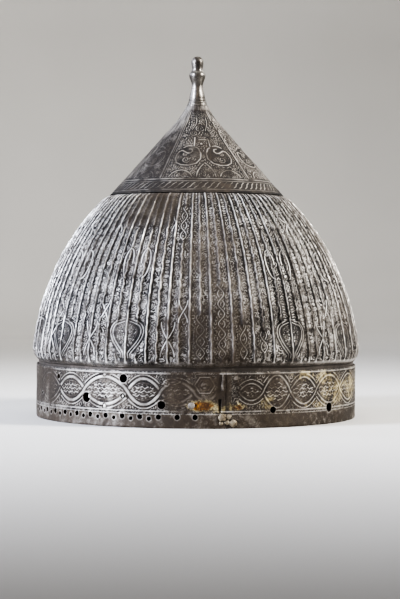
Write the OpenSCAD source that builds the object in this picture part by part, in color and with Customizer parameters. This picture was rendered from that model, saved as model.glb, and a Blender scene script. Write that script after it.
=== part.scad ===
// Fluted steel helmet skull with a brow band, a conical top and a turned finial.
// Millimetres. The rim stands on z = 0, the axis is Z, and the front faces -Y.
// Angles round the helmet are counted from the front, positive towards +X.

/* [Brow band] */
// Outer radius of the brow band
band_r = 110; // [95:0.5:125]
// Height of the brow band
band_h = 36; // [32:0.5:46]
// Thickness of the brow band's plate
band_t = 1.6; // [1:0.1:2.4]
// Gap where the two ends of the band meet at the front
seam_gap = 0.6; // [0.3:0.1:1.5]

/* [Bowl] */
// How far the widest ridge stands out past the band
bowl_swell = 2.75; // [1.5:0.25:6]
// Height of the open groove between the band and the bowl's lip
groove_h = 3; // [2:0.25:5]
// Height of the bowl's rounded lip, from the groove to the widest ridge
lip_h = 8.4; // [6:0.2:12]
// Height from the widest ridge to the shoulder
bowl_rise = 101.8; // [80:1:125]
// Radius of the arc that the bowl's side follows from the widest ridge to the shoulder
bowl_arc_r = 170; // [140:1:260]
// Width of the ledge between the shoulder and the cone's lip
ledge_w = 5; // [3:0.5:9]
// Rise of that ledge
ledge_rise = 2; // [1:0.25:4]
// Thickness of the bowl's plate at the bottom of a flute
bowl_t = 1.3; // [1:0.1:2.4]
// Depth of a flute
flute_depth = 1.4; // [0.6:0.1:2]
// Number of flutes round the bowl
flutes = 100; // [60:4:100]
// Angle from the front to the first ridge
flute_start = 2.2; // [0:0.1:3.5]
// How far the bowl's lower flange reaches down behind the band
tuck_h = 11; // [9:0.5:14]
// How far the bowl's upper flange reaches up inside the cone
crown_h = 10; // [8:0.5:16]

/* [Cone] */
// Radius of the cone's lip
cone_r = 60; // [50:0.5:68]
// Height of the cone's straight flank
flank_h = 47.4; // [38:0.5:60]
// Radius where the flank starts to curve up to the neck
flare_r = 17.5; // [14:0.5:22]
// Height of the curved part under the collar
flare_h = 14.4; // [10:0.2:20]
// Radius of the flat seat on top of the cone
seat_r = 7.5; // [7:0.1:9.5]
// Thickness of the cone's plate
cone_t = 1.4; // [1:0.1:2.2]
// Thickness of the solid tip under the flat seat
tip_h = 13; // [8:0.5:18]

/* [Finial] */
// Height of the moulded collar under the finial
collar_h = 5.2; // [4:0.2:7]
// Height from the collar to the middle of the finial's lower knob
low_knob_z = 16.2; // [13:0.2:20]
// Radius of the lower knob
low_knob_r = 5.6; // [4.8:0.1:6.4]
// Height from the collar to the middle of the upper knob
top_knob_z = 25.1; // [22:0.2:30]
// Radius of the upper knob
top_knob_r = 4.2; // [3.6:0.1:5]
// Height of the upper knob's rounded end over its middle
top_dome_h = 4; // [3:0.2:5]
// Radius of the finial's neck
neck_r = 3.8; // [3:0.1:4.4]
// Radius of the tang that goes down through the collar and the cone's tip
tang_r = 2.5; // [1.8:0.1:2.8]
// Radius of the washer under the tang's riveted end
rove_r = 6; // [4.5:0.1:7]
// Thickness of that washer
rove_t = 1.2; // [0.8:0.1:2]

/* [Rivets] */
// Radius of a plate rivet's shank
rivet_r = 1.5; // [1:0.1:2]
// Radius of the flattened head inside
rivet_head_r = 2.8; // [2.4:0.1:3.6]
// Height of the flattened head inside
rivet_head_h = 0.9; // [0.5:0.1:1.5]
// Number of rivets between the band and the bowl
band_rivet_count = 12; // [6:1:18]
// Number of rivets between the cone and the bowl
cone_rivet_count = 8; // [4:1:12]
// Radius of the round head of the one fitting rivet that is left outside
peak_rivet_head_r = 2.2; // [1.8:0.1:3]

/* [Front seam] */
// Width of the strap that backs the seam inside
strap_w = 13; // [11:0.5:18]
// Thickness of the strap
strap_t = 1.4; // [1:0.1:2]
// Height of the strap's lower edge over the rim
strap_z = 1.5; // [1:0.25:4]
// Angle of the strap's rivets from the seam
strap_rivet_a = 1.7; // [1.5:0.1:2]
// Distance of the strap's rivets from its upper and lower ends
strap_rivet_in = 4; // [3:0.5:8]
// Height of the bracket's raised remnant
stub_h = 10.5; // [7:0.5:13]
// Width of that remnant
stub_w = 1.4; // [1:0.1:2]
// How far it stands out from the band
stub_out = 0.9; // [0.5:0.1:1.4]
// How far the lumps of brazing metal on the rim stand out
braze_out = 1.5; // [0.8:0.1:2]

/* [Holes] */
// Radius of the larger lacing holes
lace_r = 1.6; // [1.2:0.1:1.9]
// Radius of the smaller lacing holes between them
lace_small_r = 1.25; // [0.8:0.05:1.6]
// Height of the larger lacing holes over the rim
lace_z = 7.2; // [6:0.1:9]
// How much lower the smaller lacing holes lie
lace_drop = 1.2; // [0:0.1:2]
// Angle from one lacing hole to the next
lace_pitch = 3.2; // [2.6:0.1:4]
// Number of lacing holes in the row that runs back round the left side
lace_count = 48; // [20:1:48]
// How much wider in radius the bowl's flange is drilled behind the band's two upper holes
flange_clear = 0.8; // [0.4:0.1:1.5]

/* [Hidden] */

$fn = 96;
seat_gap = 0.15;      // between plates that lie on each other
rivet_gap = 0.04;     // round a shank in its hole
cut_past = 4;         // how far a cut runs past a plate

// Heights of the main rings
groove_z = band_h + groove_h;
wide_z = groove_z + lip_h;
shoulder_z = wide_z + bowl_rise;
lip_z = shoulder_z + ledge_rise + seat_gap;
flare_z = lip_z + flank_h;
seat_z = flare_z + flare_h;
collar_z = seat_z + collar_h;

// Radii that follow from them
bowl_r = band_r + bowl_swell;
shoulder_r = cone_r + ledge_w;
band_in_r = band_r - band_t;
tuck_r = band_in_r - seat_gap;
tuck_in_r = tuck_r - bowl_t;

// A point of the plan at angle a and radius r, at height z
function round_at(a, r, z) = [r * sin(a), -r * cos(a), z];

// The two ends of the bowl's arc, and the arc's centre on the helmet's inner side
arc_low = [bowl_r, wide_z];
arc_high = [shoulder_r, shoulder_z];
arc_chord = arc_high - arc_low;
arc_back = sqrt(pow(bowl_arc_r, 2) - pow(norm(arc_chord) / 2, 2)) / norm(arc_chord);
arc_centre = (arc_low + arc_high) / 2 + arc_back * [-arc_chord[1], arc_chord[0]];
arc_a0 = atan2(arc_low[1] - arc_centre[1], arc_low[0] - arc_centre[0]);
arc_a1 = atan2(arc_high[1] - arc_centre[1], arc_high[0] - arc_centre[0]);
arc_steps = 7;

// A point of the bowl's side: step k of arc_steps, inset from the ridges by d
function on_arc(k, d) =
    let (a = arc_a0 + (arc_a1 - arc_a0) * k / arc_steps)
    arc_centre + (bowl_arc_r - d) * [cos(a), sin(a)];

// The cone's flank runs from its lip up and in along flank_dir, and flank_in points into the helmet
flank_len = norm([cone_r - flare_r, flank_h]);
flank_dir = [flare_r - cone_r, flank_h] / flank_len;
flank_in = [-flank_dir[1], flank_dir[0]];
// How far in a level cut through the cone's plate of thickness t reaches
function level_cut(t) = t / flank_dir[1];
// Radius of the cone's inside at height z, on the line of its flank
function cone_in_r(z) = max(tang_r + 2, cone_r - level_cut(cone_t) + (z - lip_z) * flank_dir[0] / flank_dir[1]);
crown_foot = [cone_r - level_cut(cone_t + seat_gap), lip_z - seat_gap];
crown_top = crown_foot + crown_h * flank_dir;

// Profile of the bowl, first up the outside and then down the inside.
// Each entry is [where a ridge is, where a trough is]. Where both are the same, the ring is smooth.
lip_under = [tuck_r, groove_z - 0.3 * groove_h];
lip_edge = [band_r - 0.3, groove_z];
lip_face = [bowl_r - 0.5 * bowl_swell, groove_z + 0.36 * lip_h];
ledge_in = [cone_r + 0.5, lip_z - seat_gap];
bowl_profile = concat(
    [for (p = [[tuck_r, band_h - tuck_h], lip_under, lip_edge, lip_face]) [p, p]],
    [for (k = [0 : arc_steps]) [on_arc(k, 0), on_arc(k, flute_depth)]],
    [for (p = [ledge_in, crown_foot, crown_top,
               crown_top + bowl_t * flank_in, crown_foot + bowl_t * flank_in]) [p, p]],
    [for (k = [arc_steps : -1 : 0]) let (p = on_arc(k, flute_depth + bowl_t)) [p, p]],
    [for (p = [[lip_edge[0] - bowl_t, groove_z + 0.2 * lip_h],
               [tuck_in_r, lip_under[1] + 0.4],
               [tuck_in_r, band_h - tuck_h]]) [p, p]]);
rings = len(bowl_profile);
is_fluted = [for (p = bowl_profile) p[0] != p[1]];
ring_points = [for (f = is_fluted) f ? 3 : 1];
// Index of a ring's first point
function ring_start(k) = k == 0 ? 0 : ring_start(k - 1) + flutes * ring_points[k - 1];
starts = [for (k = [0 : rings - 1]) ring_start(k)];
// Index of point j in the flute i of ring k, where j = 0 is the ridge
function at(k, i, j) = starts[k] + (i * ring_points[k] + j) % (flutes * ring_points[k]);
bowl_points = [for (k = [0 : rings - 1], i = [0 : flutes - 1], j = [0 : ring_points[k] - 1])
    let (p = bowl_profile[k][j == 0 ? 0 : 1]) round_at(flute_start + (i + j / 3) * 360 / flutes, p[0], p[1])];

// The faces between ring a and ring b in flute i
function joined(a, b, i) =
    ring_points[a] == ring_points[b]
        ? [for (j = [0 : ring_points[a] - 1]) each
            [[at(a, i, j), at(b, i, j), at(b, i, j + 1)], [at(a, i, j), at(b, i, j + 1), at(a, i, j + 1)]]]
    : ring_points[a] == 1
        ? [[at(a, i, 0), at(b, i, 0), at(b, i, 1)], [at(a, i, 0), at(b, i, 1), at(a, i, 1)],
           [at(a, i, 1), at(b, i, 1), at(b, i, 2)], [at(a, i, 1), at(b, i, 2), at(b, i, 3)]]
        : [[at(b, i, 0), at(a, i, 1), at(a, i, 0)], [at(b, i, 0), at(b, i, 1), at(a, i, 1)],
           [at(b, i, 1), at(a, i, 2), at(a, i, 1)], [at(b, i, 1), at(a, i, 3), at(a, i, 2)]];

// The curve that carries the cone's flank up to its flat seat, t from 0 to 1, inset by d
flare_pull = [flare_r, flare_z] + 0.5 * flare_h / flank_dir[1] * flank_dir;
function flare(t) = (1 - t) * (1 - t) * [flare_r, flare_z] + 2 * t * (1 - t) * flare_pull
    + t * t * [seat_r, seat_z];
flare_steps = 6;

// Mouldings of the collar: [how far in from the seat's edge, share of the collar's height].
// Two grooves leave a thin ring between them, and the whole collar narrows up to the finial's foot.
collar_taper = 2;
collar_steps = [[0.15, 0], [0.2, 0.08], [0.7, 0.2], [0.75, 0.3], [1.15, 0.36], [1.1, 0.48], [1.4, 0.6],
                [1.75, 0.66], [1.65, 0.78], [1.8, 0.9], [collar_taper, 1]];
collar_top_r = seat_r - collar_taper;

// Profile of the finial over the collar: neck, lower knob, waist and upper knob
function blend(a, b, t) = a + (b - a) * (1 - cos(180 * t)) / 2;
waist_r = 0.97 * neck_r;
waist_z = collar_z + low_knob_z + 0.42 * (top_knob_z - low_knob_z);
neck_z = collar_z + 0.55 * low_knob_z;
foot_r = collar_top_r - 0.2;
swell_steps = 6;
finial_stages = [[foot_r, collar_z], [neck_r, neck_z], [low_knob_r, collar_z + low_knob_z],
                 [waist_r, waist_z], [top_knob_r, collar_z + top_knob_z]];
finial_side = [for (s = [0 : len(finial_stages) - 2], k = [0 : swell_steps - 1])
    let (p = finial_stages[s], q = finial_stages[s + 1], t = k / swell_steps)
    [blend(p[0], q[0], t), p[1] + (q[1] - p[1]) * t]];
dome_steps = 6;
finial_dome = [for (k = [0 : dome_steps]) let (a = 90 * k / dome_steps)
    [top_knob_r * cos(a), collar_z + top_knob_z + top_dome_h * sin(a)]];

// Where the tang ends: under the tip, with the washer and its own riveted head below
tip_z = seat_z - tip_h;
rove_z = tip_z - seat_gap - rove_t;
tang_head_h = 1.4;

// Rivet rings
band_rivet_z = band_h - tuck_h / 2;
crown_rivet = crown_foot + 0.5 * crown_h * flank_dir;
strap_h = band_h - tuck_h - 1 - strap_z;
strap_low_z = strap_z + strap_rivet_in;
strap_high_z = strap_z + strap_h - strap_rivet_in;
strap_in_r = band_in_r - seat_gap - strap_t;
strap_half_a = asin(strap_w / 2 / band_in_r);

// The seam's remnants: the bracket stub left of the seam, and the lumps of brazing metal at the rim.
// Each lump is [angle, height, radius].
stub_a = -1.1;
stub_z = band_h - 1.5 - stub_h;
stub_half_a = asin(stub_w / 2 / band_r);
lumps = [[-1.1, 7.2, 3.6], [2.5, 3.4, 3.3], [0.9, 7.8, 2.2]];
slot_a = -2;
slot_w = 2;
slot_low_z = 10;
slot_h = 8.5;
slot_deep = 0.8;

// Empty fitting holes in the band: [angle, height, radius]. The first two keep to its upper edge.
fitting_holes = [[-65, band_h - 6, 1.6], [-34.8, band_h - 5, 2.65], [-49.8, 18, 3.2], [-35, 19.8, 1.65],
                 [-21.4, 14.8, 2.45], [16.6, 11.5, 2.05], [42.6, 10.8, 3], [-79, 17.7, 1]];
// Single lacing holes near the front, and where the row starts
lace_singles = [-10.2, -16.1];
lace_first = -22.4;
peak_rivet_a = -11.4;
peak_rivet_z = 14.6;
peak_head_h = 1.15;

// Puts its children on the axis of a radial hole at angle a and height z, with local Z pointing out
module radial(a, z) {
    rotate([0, 0, a]) translate([0, 0, z]) rotate([90, 0, 0]) children();
}

// A radial cut of radius r through whatever plates lie between two radii
module drill(a, z, r, from_r, to_r) {
    radial(a, z) translate([0, 0, from_r]) cylinder(h = to_r - from_r, r = r);
}

// Puts its children square to the cone's flank at angle a, with local Z pointing out of it
module on_flank(a, p) {
    rotate([0, 0, a]) translate([0, -p[0], p[1]])
        rotate([90 - atan2(-flank_in[1], -flank_in[0]), 0, 0]) children();
}

// Shank with a flattened head at its inner end. Local Z points out, and the plates' inner face is z = 0.
module flush_rivet(grip) {
    translate([0, 0, -seat_gap / 2]) cylinder(h = grip + seat_gap / 2, r = rivet_r);
    rotate_extrude() polygon([[0, -seat_gap / 2 - rivet_head_h], [0.55 * rivet_head_r, -seat_gap / 2 - rivet_head_h],
        [rivet_head_r, -seat_gap / 2 - 0.35 * rivet_head_h], [rivet_head_r, -seat_gap / 2], [0, -seat_gap / 2]]);
}

// Runs its children at each rivet of the ring between band and bowl
module at_band_rivets() {
    for (i = [0 : band_rivet_count - 1]) radial((i + 0.5) * 360 / band_rivet_count, band_rivet_z) children();
}

// Runs its children at each rivet of the ring between cone and bowl
module at_cone_rivets() {
    for (i = [0 : cone_rivet_count - 1]) on_flank((i + 0.5) * 360 / cone_rivet_count, crown_rivet) children();
}

// Runs its children at each rivet of the seam's strap
module at_strap_rivets() {
    for (a = [-strap_rivet_a, strap_rivet_a], z = [strap_low_z, strap_high_z]) radial(a, z) children();
}

// The holes that go through band and bowl flange, with the fitting holes wider in radius by wider
module plate_holes(wider) {
    for (h = fitting_holes) drill(h[0], h[1], h[2] + wider, tuck_in_r - cut_past, band_r + cut_past);
    at_band_rivets() translate([0, 0, tuck_in_r - cut_past])
        cylinder(h = band_r - tuck_in_r + 2 * cut_past, r = rivet_r + rivet_gap);
}

module brow_band() color("darkgray") difference() {
    rotate_extrude() translate([band_in_r, 0]) square([band_t, band_h]);
    // the meeting of the two ends, and the slot beside it
    translate([-seam_gap / 2, -band_r - cut_past, -1]) cube([seam_gap, band_t + 2 * cut_past, band_h + 2]);
    rotate([0, 0, slot_a]) translate([-slot_w / 2, -band_r - cut_past, slot_low_z])
        cube([slot_w, slot_deep + cut_past, slot_h]);
    plate_holes(0);
    at_strap_rivets() translate([0, 0, band_in_r - cut_past])
        cylinder(h = band_t + 2 * cut_past, r = rivet_r + rivet_gap);
    drill(peak_rivet_a, peak_rivet_z, rivet_r + rivet_gap, band_in_r - cut_past, band_r + cut_past);
    for (a = lace_singles) drill(a, lace_z, lace_r, band_in_r - cut_past, band_r + cut_past);
    for (i = [0 : lace_count - 1])
        drill(lace_first - i * lace_pitch, lace_z - (i % 2) * lace_drop, i % 2 == 0 ? lace_r : lace_small_r,
              band_in_r - cut_past, band_r + cut_past);
}

module fluted_bowl() color("gray") difference() {
    polyhedron(bowl_points, [for (k = [0 : rings - 1], i = [0 : flutes - 1]) each joined(k, (k + 1) % rings, i)]);
    plate_holes(flange_clear);
    at_cone_rivets() translate([0, 0, -bowl_t - cut_past])
        cylinder(h = bowl_t + 2 * cut_past, r = rivet_r + rivet_gap);
}

module cone_cap() color("dimgray") difference() {
    rotate_extrude() polygon(concat(
        [[cone_r - level_cut(cone_t), lip_z], [cone_r, lip_z]],
        [for (k = [0 : flare_steps]) flare(k / flare_steps)],
        [[tang_r + rivet_gap, seat_z], [tang_r + rivet_gap, tip_z]],
        [[cone_in_r(tip_z), tip_z]]));
    at_cone_rivets() translate([0, 0, -bowl_t])
        cylinder(h = bowl_t + cone_t + cut_past, r = rivet_r + rivet_gap);
}

module apex_collar() color("gray") rotate_extrude() polygon(concat(
    [[tang_r + rivet_gap, seat_z]],
    [for (step = collar_steps) [seat_r - step[0], seat_z + step[1] * collar_h]],
    [[tang_r + rivet_gap, collar_z]]));

module finial() color("silver") {
    rotate_extrude() polygon(concat([[0, collar_z]], finial_side, finial_dome));
    translate([0, 0, rove_z - seat_gap]) cylinder(h = collar_z - rove_z + seat_gap, r = tang_r);
    rotate_extrude() polygon([[0, rove_z - seat_gap - tang_head_h], [0.6 * tang_r, rove_z - seat_gap - tang_head_h],
        [tang_r + 1, rove_z - seat_gap - 0.3 * tang_head_h], [tang_r + 1, rove_z - seat_gap], [0, rove_z - seat_gap]]);
}

module finial_rove() color("slategray") translate([0, 0, rove_z]) difference() {
    cylinder(h = rove_t, r = rove_r);
    translate([0, 0, -1]) cylinder(h = rove_t + 2, r = tang_r + rivet_gap);
}

module band_rivets() color("dimgray")
    at_band_rivets() translate([0, 0, tuck_in_r]) flush_rivet(band_r - tuck_in_r - seat_gap);

module cone_rivets() color("dimgray")
    at_cone_rivets() translate([0, 0, -bowl_t]) flush_rivet(bowl_t + cone_t);

module seam_strap() color("slategray") difference() {
    rotate([0, 0, -90 - strap_half_a]) rotate_extrude(angle = 2 * strap_half_a)
        translate([strap_in_r, strap_z]) square([strap_t, strap_h]);
    at_strap_rivets() translate([0, 0, strap_in_r - cut_past])
        cylinder(h = strap_t + 2 * cut_past, r = rivet_r + rivet_gap);
}

module strap_rivets() color("dimgray")
    at_strap_rivets() translate([0, 0, strap_in_r]) flush_rivet(band_r - strap_in_r - seat_gap);

module bracket_stub() color("silver")
    rotate([0, 0, stub_a - 90 - stub_half_a]) rotate_extrude(angle = 2 * stub_half_a)
        translate([band_r, stub_z]) square([stub_out, stub_h]);

module rim_braze() color("tan") difference() {
    for (l = lumps) radial(l[0], l[1]) translate([0, 0, band_r + braze_out - l[2]]) sphere(r = l[2]);
    cylinder(h = wide_z, r = band_r, $fn = 192);
}

module peak_rivet() color("silver") radial(peak_rivet_a, peak_rivet_z) {
    translate([0, 0, band_in_r]) flush_rivet(band_t + seat_gap);
    translate([0, 0, band_r + seat_gap]) rotate_extrude() polygon([[0, 0], [peak_rivet_head_r, 0],
        [peak_rivet_head_r, 0.25 * peak_head_h], [0.8 * peak_rivet_head_r, 0.7 * peak_head_h],
        [0.4 * peak_rivet_head_r, 0.95 * peak_head_h], [0, peak_head_h]]);
}

brow_band();
fluted_bowl();
cone_cap();
apex_collar();
finial();
finial_rove();
band_rivets();
cone_rivets();
seam_strap();
strap_rivets();
bracket_stub();
rim_braze();
peak_rivet();
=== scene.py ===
# %% [markdown]
# # A fluted helmet skull with a cut brow band
#
# This lesson dresses a plain measured model of an old steel helmet. The real one was hammered and
# riveted from three plates: a straight brow band, a fluted bowl and a conical top with a turned
# knob. Smiths then cut fine ornament into all three, and centuries of handling wore the high
# places bright and left dark rust in the low ones.
#
# The measured model comes in as a frame that is dressed but not moved. Its box is kept.

from functools import partial
from math import atan2, cos, degrees, hypot, pi, radians, sin, sqrt

import bmesh
import bpy
import numpy as np
from mathutils import Matrix, Vector


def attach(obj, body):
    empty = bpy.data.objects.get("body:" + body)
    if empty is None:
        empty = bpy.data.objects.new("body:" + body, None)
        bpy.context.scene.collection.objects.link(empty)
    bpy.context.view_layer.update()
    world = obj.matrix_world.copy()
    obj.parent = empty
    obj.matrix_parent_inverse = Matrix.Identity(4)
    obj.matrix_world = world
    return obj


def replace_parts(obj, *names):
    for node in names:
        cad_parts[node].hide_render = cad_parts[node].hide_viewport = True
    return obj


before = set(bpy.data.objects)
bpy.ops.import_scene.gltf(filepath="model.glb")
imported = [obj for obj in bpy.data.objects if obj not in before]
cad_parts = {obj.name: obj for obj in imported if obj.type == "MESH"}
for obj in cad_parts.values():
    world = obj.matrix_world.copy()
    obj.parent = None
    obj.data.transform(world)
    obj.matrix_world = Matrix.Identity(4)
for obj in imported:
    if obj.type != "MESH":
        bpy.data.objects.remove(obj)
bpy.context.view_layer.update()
print("measured pieces:", ", ".join(sorted(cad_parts)))

# %% [markdown]
# ## One way to count places on the helmet
#
# Everything on the helmet is laid out round its axis, so a place is told by its angle from the
# front, positive to the right of someone who faces the helmet, and by its height over the rim.
# All sizes here are in millimetres and become metres only when a mesh is made.

# %% Places and sizes
MM = 0.001
BAND_R, BAND_T, BAND_H = 110.0, 1.6, 36.0  # the brow band: outer radius, thickness and height
BAND_IN_R = BAND_R - BAND_T
TUCK_R, BOWL_T = 108.25, 1.3  # the bowl's flange inside the band, and the bowl's thickness
# up the bowl: the flange's foot, its top, the groove over it, the widest ring and the shoulder
FLANGE_Z, LIP_FOOT_Z, GROOVE_Z, WIDE_Z, SHOULDER_Z = 25.0, 38.1, 39.0, 47.4, 149.2
GROOVE_DEPTH, BOWL_R, SHOULDER_R, BOWL_ARC_R = 3.05, 112.75, 65.0, 170.0
FLUTES, FLUTE_START, FLUTE_DEPTH = 100, 2.2, 1.4
FLUTE_STEP = 360 / FLUTES
CONE_R, CONE_T, LIP_Z = 60.0, 1.4, 151.35  # the cone's lip
# where the cone's side starts to curve up, and the flat seat of the knob
FLARE_R, FLARE_Z, SEAT_R, SEAT_Z = 17.5, 198.75, 7.5, 213.15


def place(t, r, z):
    """The point at angle t (degrees), radius r and height z, in metres."""
    return Vector((r * sin(radians(t)), -r * cos(radians(t)), z)) * MM


def smooth_step(x, low, high):
    """0 below low, 1 above high, and an even curve between them."""
    u = np.clip((x - low) / (high - low), 0, 1)
    return u * u * (3 - 2 * u)


def between(x, a, b, c, d):
    """1 from b to c, 0 below a and above d, and even curves in the two gaps."""
    return smooth_step(x, a, b) * (1 - smooth_step(x, c, d))


print("the front of the band lies at", tuple(round(c, 4) for c in place(0, BAND_R, 0)))

# %% [markdown]
# ## Patches that go round without a join
#
# Wear, dents and stains come in soft patches of a certain size. A sum of a few seeded waves gives
# such patches, and because each wave fits a whole number of times round the helmet, nothing shows
# where the angle jumps from 180 to -180 degrees.


# %% Soft patches
def patches(t, s, size, seed, radius=90.0, waves=14):
    """Soft patches about size mm across, from -1 to 1, at angles t (degrees) and heights s (mm)."""
    dice = np.random.default_rng(seed)
    total = np.zeros(np.broadcast(t, s).shape, np.float32)
    for _ in range(waves):
        heading = dice.uniform(0, 2 * pi)
        pace = 2 * pi / size * dice.uniform(0.6, 1.4)
        turns = round(pace * cos(heading) * radius)
        total += np.cos(np.radians(t) * turns + s * pace * sin(heading) + dice.uniform(0, 2 * pi))
    return np.clip(total / sqrt(waves), -1, 1)


print("a patch value:", round(float(patches(np.array([10.0]), np.array([20.0]), 12, 1)[0]), 3))

# %% [markdown]
# ## A drawing of each plate, unrolled
#
# The ornament is cut by hand into the plate: dark grooves beside bright raised lines. Modelling
# each groove as its own solid would be slow and heavy. Here each plate gets a drawing instead, a
# flat field of numbers as if the plate were unrolled, with a value from -1 in a groove to 1 on a
# raised line. On the bowl and the cone this field also carries painted shade and painted light. Later
# each vertex of the plate looks up its value, and moves in or out by it. Four more fields lie over
# the relief: where gold is left, where still finer scrolls may be cut, where age has turned the steel
# brown and, on the bowl, where painted shade darkens it, and where a ridge of the bowl is left out.


# %% The drawing
LINE_SHADE = 0.85  # how much of the free field a line takes up where it runs


class Drawing:
    """An unrolled plate. Rows go up the surface from s = 0, columns go round from -180 degrees."""

    def __init__(self, length, radius_at, patch_r, step=0.25):
        self.step, self.patch_r = step, patch_r
        self.s = np.arange(0, length + step, step)
        self.r = np.array([radius_at(s) for s in self.s])
        self.columns = int(2 * pi * self.r.max() / step)
        self.t = -180 + 360 * np.arange(self.columns) / self.columns
        self.tt, self.ss = np.meshgrid(self.t, self.s)
        self.relief = np.zeros((len(self.s), self.columns), np.float32)
        self.gilt, self.aged, self.calm = (np.zeros_like(self.relief) for _ in range(3))
        self.field = np.ones_like(self.relief)

    def radius(self, s):
        return float(np.interp(s, self.s, self.r))

    def paint(self, path, half, value, soft=0.3):
        """Draws a line, half wide to each side, along a path of (angle, height) points."""
        path = np.asarray(path, float)
        low, high = path[:, 1].min() - half - soft, path[:, 1].max() + half + soft
        rows = np.arange(max(0, int(low / self.step)), min(len(self.s), int(high / self.step) + 2))
        if len(rows) == 0:
            return
        r = self.r[rows][:, None]
        pad = degrees((half + soft) / max(r.min(), 1))
        first = int((path[:, 0].min() - pad + 180) / 360 * self.columns)
        last = int((path[:, 0].max() + pad + 180) / 360 * self.columns) + 1
        columns = np.arange(first, last + 1)
        x = np.radians(-180 + 360 * columns / self.columns)[None, :] * r
        y = self.s[rows][:, None]
        near = np.full(x.shape, 1e9)
        for (ta, sa), (tb, sb) in zip(path[:-1], path[1:]):
            ax, dx, dy = radians(ta) * r, radians(tb - ta) * r, sb - sa
            u = np.clip(((x - ax) * dx + (y - sa) * dy) / (dx * dx + dy * dy + 1e-9), 0, 1)
            near = np.minimum(near, (x - ax - u * dx) ** 2 + (y - sa - u * dy) ** 2)
        cover = np.clip((half - np.sqrt(near)) / soft + 0.5, 0, 1)
        spot = np.ix_(rows, columns % self.columns)
        self.relief[spot] = self.relief[spot] * (1 - cover) + value * cover
        self.field[spot] *= 1 - LINE_SHADE * cover

    def strap(self, path, half, edge=0.45, value=0.9, ditch_and_shade=-1):
        """A raised line, half wide to each side, with a cut edge along both of its sides."""
        self.paint(path, half + edge, ditch_and_shade)
        self.paint(path, half, value)

    def border(self, s, half, value, soft=0.3):
        """A raised line right round the plate, between two cut edges."""
        for reach, level in ((half + 0.5, -0.9), (half, value)):
            cover = np.clip((reach - np.abs(self.s - s)) / soft + 0.5, 0, 1)[:, None]
            self.relief[:] = self.relief * (1 - cover) + level * cover

    def put(self, shape, t, s, turn=0.0, scale=1.0, flip=1.0):
        """Moves a shape, (x, y) points in mm, to a place on the plate."""
        a, r = radians(turn), self.radius(s)
        return [(t + degrees(((x * cos(a) - y * sin(a)) * scale * flip) / r),
                 s + (x * sin(a) + y * cos(a)) * scale) for x, y in shape]

    def patchy(self, size, seed):
        """Soft patches about size mm across, all over the plate."""
        return patches(self.tt, self.ss, size, seed, self.patch_r)

    def share(self, level):
        """How much of the relief is above a level."""
        return round(float((self.relief > level).mean()), 3)

    def soften(self):
        """Blurs the relief by half a millimetre, so that slanted lines don't step on the mesh."""
        for axis in (0, 1):
            before, after = np.roll(self.relief, 1, axis), np.roll(self.relief, -1, axis)
            self.relief = (before + 2 * self.relief + after) / 4

    def masks(self, t, s, outer):
        """The relief at each place, and the finish masks, which are 0 on every wall but the outer."""
        cut = self.look_up(self.relief, t, s)
        made = {"raised": np.clip(cut, 0, 1), "sunk": np.clip(-cut, 0, 1)}
        for name, field in (("gilt", self.gilt), ("field", self.field), ("aged", self.aged)):
            made[name] = self.look_up(field, t, s)
        return cut, {name: np.where(outer, values, 0) for name, values in made.items()}

    def look_up(self, field, t, s):
        """The field's value at angles t and heights s, blended between its four nearest points."""
        column = (np.asarray(t) + 180) / 360 * self.columns
        row = np.clip(np.asarray(s) / self.step, 0, len(self.s) - 1.001)
        c0, r0 = np.floor(column).astype(int), np.floor(row).astype(int)
        fc, fr = column - c0, row - r0
        c0, c1 = c0 % self.columns, (c0 + 1) % self.columns
        low = field[r0, c0] * (1 - fc) + field[r0, c1] * fc
        high = field[r0 + 1, c0] * (1 - fc) + field[r0 + 1, c1] * fc
        return low * (1 - fr) + high * fr


# %% [markdown]
# ## The engraver's few strokes
#
# Old scrollwork is made from a handful of strokes: a curl, a leaf, a lozenge, an angle and a wave.
# Each is a short list of points about its own centre, in millimetres, ready to be put anywhere.


# %% Strokes
def arc(cx, cy, r, a0, a1, points=10):
    """Part of a circle, angles in degrees from the right, counted anticlockwise."""
    return [(cx + r * cos(radians(a0 + (a1 - a0) * k / points)),
             cy + r * sin(radians(a0 + (a1 - a0) * k / points))) for k in range(points + 1)]


def curl(r, turns=1.3, start=0.0, points=16):
    """A spiral from radius r in to its eye."""
    return [(r * (1 - 0.82 * k / points) * cos(radians(start) + 2 * pi * turns * k / points),
             r * (1 - 0.82 * k / points) * sin(radians(start) + 2 * pi * turns * k / points))
            for k in range(points + 1)]


def leaf(length, width, points=8):
    """A pointed leaf that stands on its tip."""
    side = [(width / 2 * sin(pi * k / points), length * k / points) for k in range(points + 1)]
    return side + [(-x, y) for x, y in reversed(side)]


def lozenge(width, height):
    return [(0, -height / 2), (width / 2, 0), (0, height / 2), (-width / 2, 0), (0, -height / 2)]


CHEVRON = [(-1, -1), (0, 0), (-1, 1)]
TENDRIL = arc(0, 1, 1, -90, 90, 6) + arc(0, 3, 1, -90, -270, 6)[1:]

print("strokes:", len(curl(1)), len(leaf(4, 2)), len(TENDRIL), "points")


# %% Small scrollwork that fills a field
SCROLLS = [arc(0, 0, 1.3, 20, 290), curl(1.5, 0.8), [(x * 0.8, y * 0.75 - 1.5) for x, y in TENDRIL],
           [(x, y - 1.5) for x, y in leaf(3, 1.8)]]


def anywhere(t, s):
    return True


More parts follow.
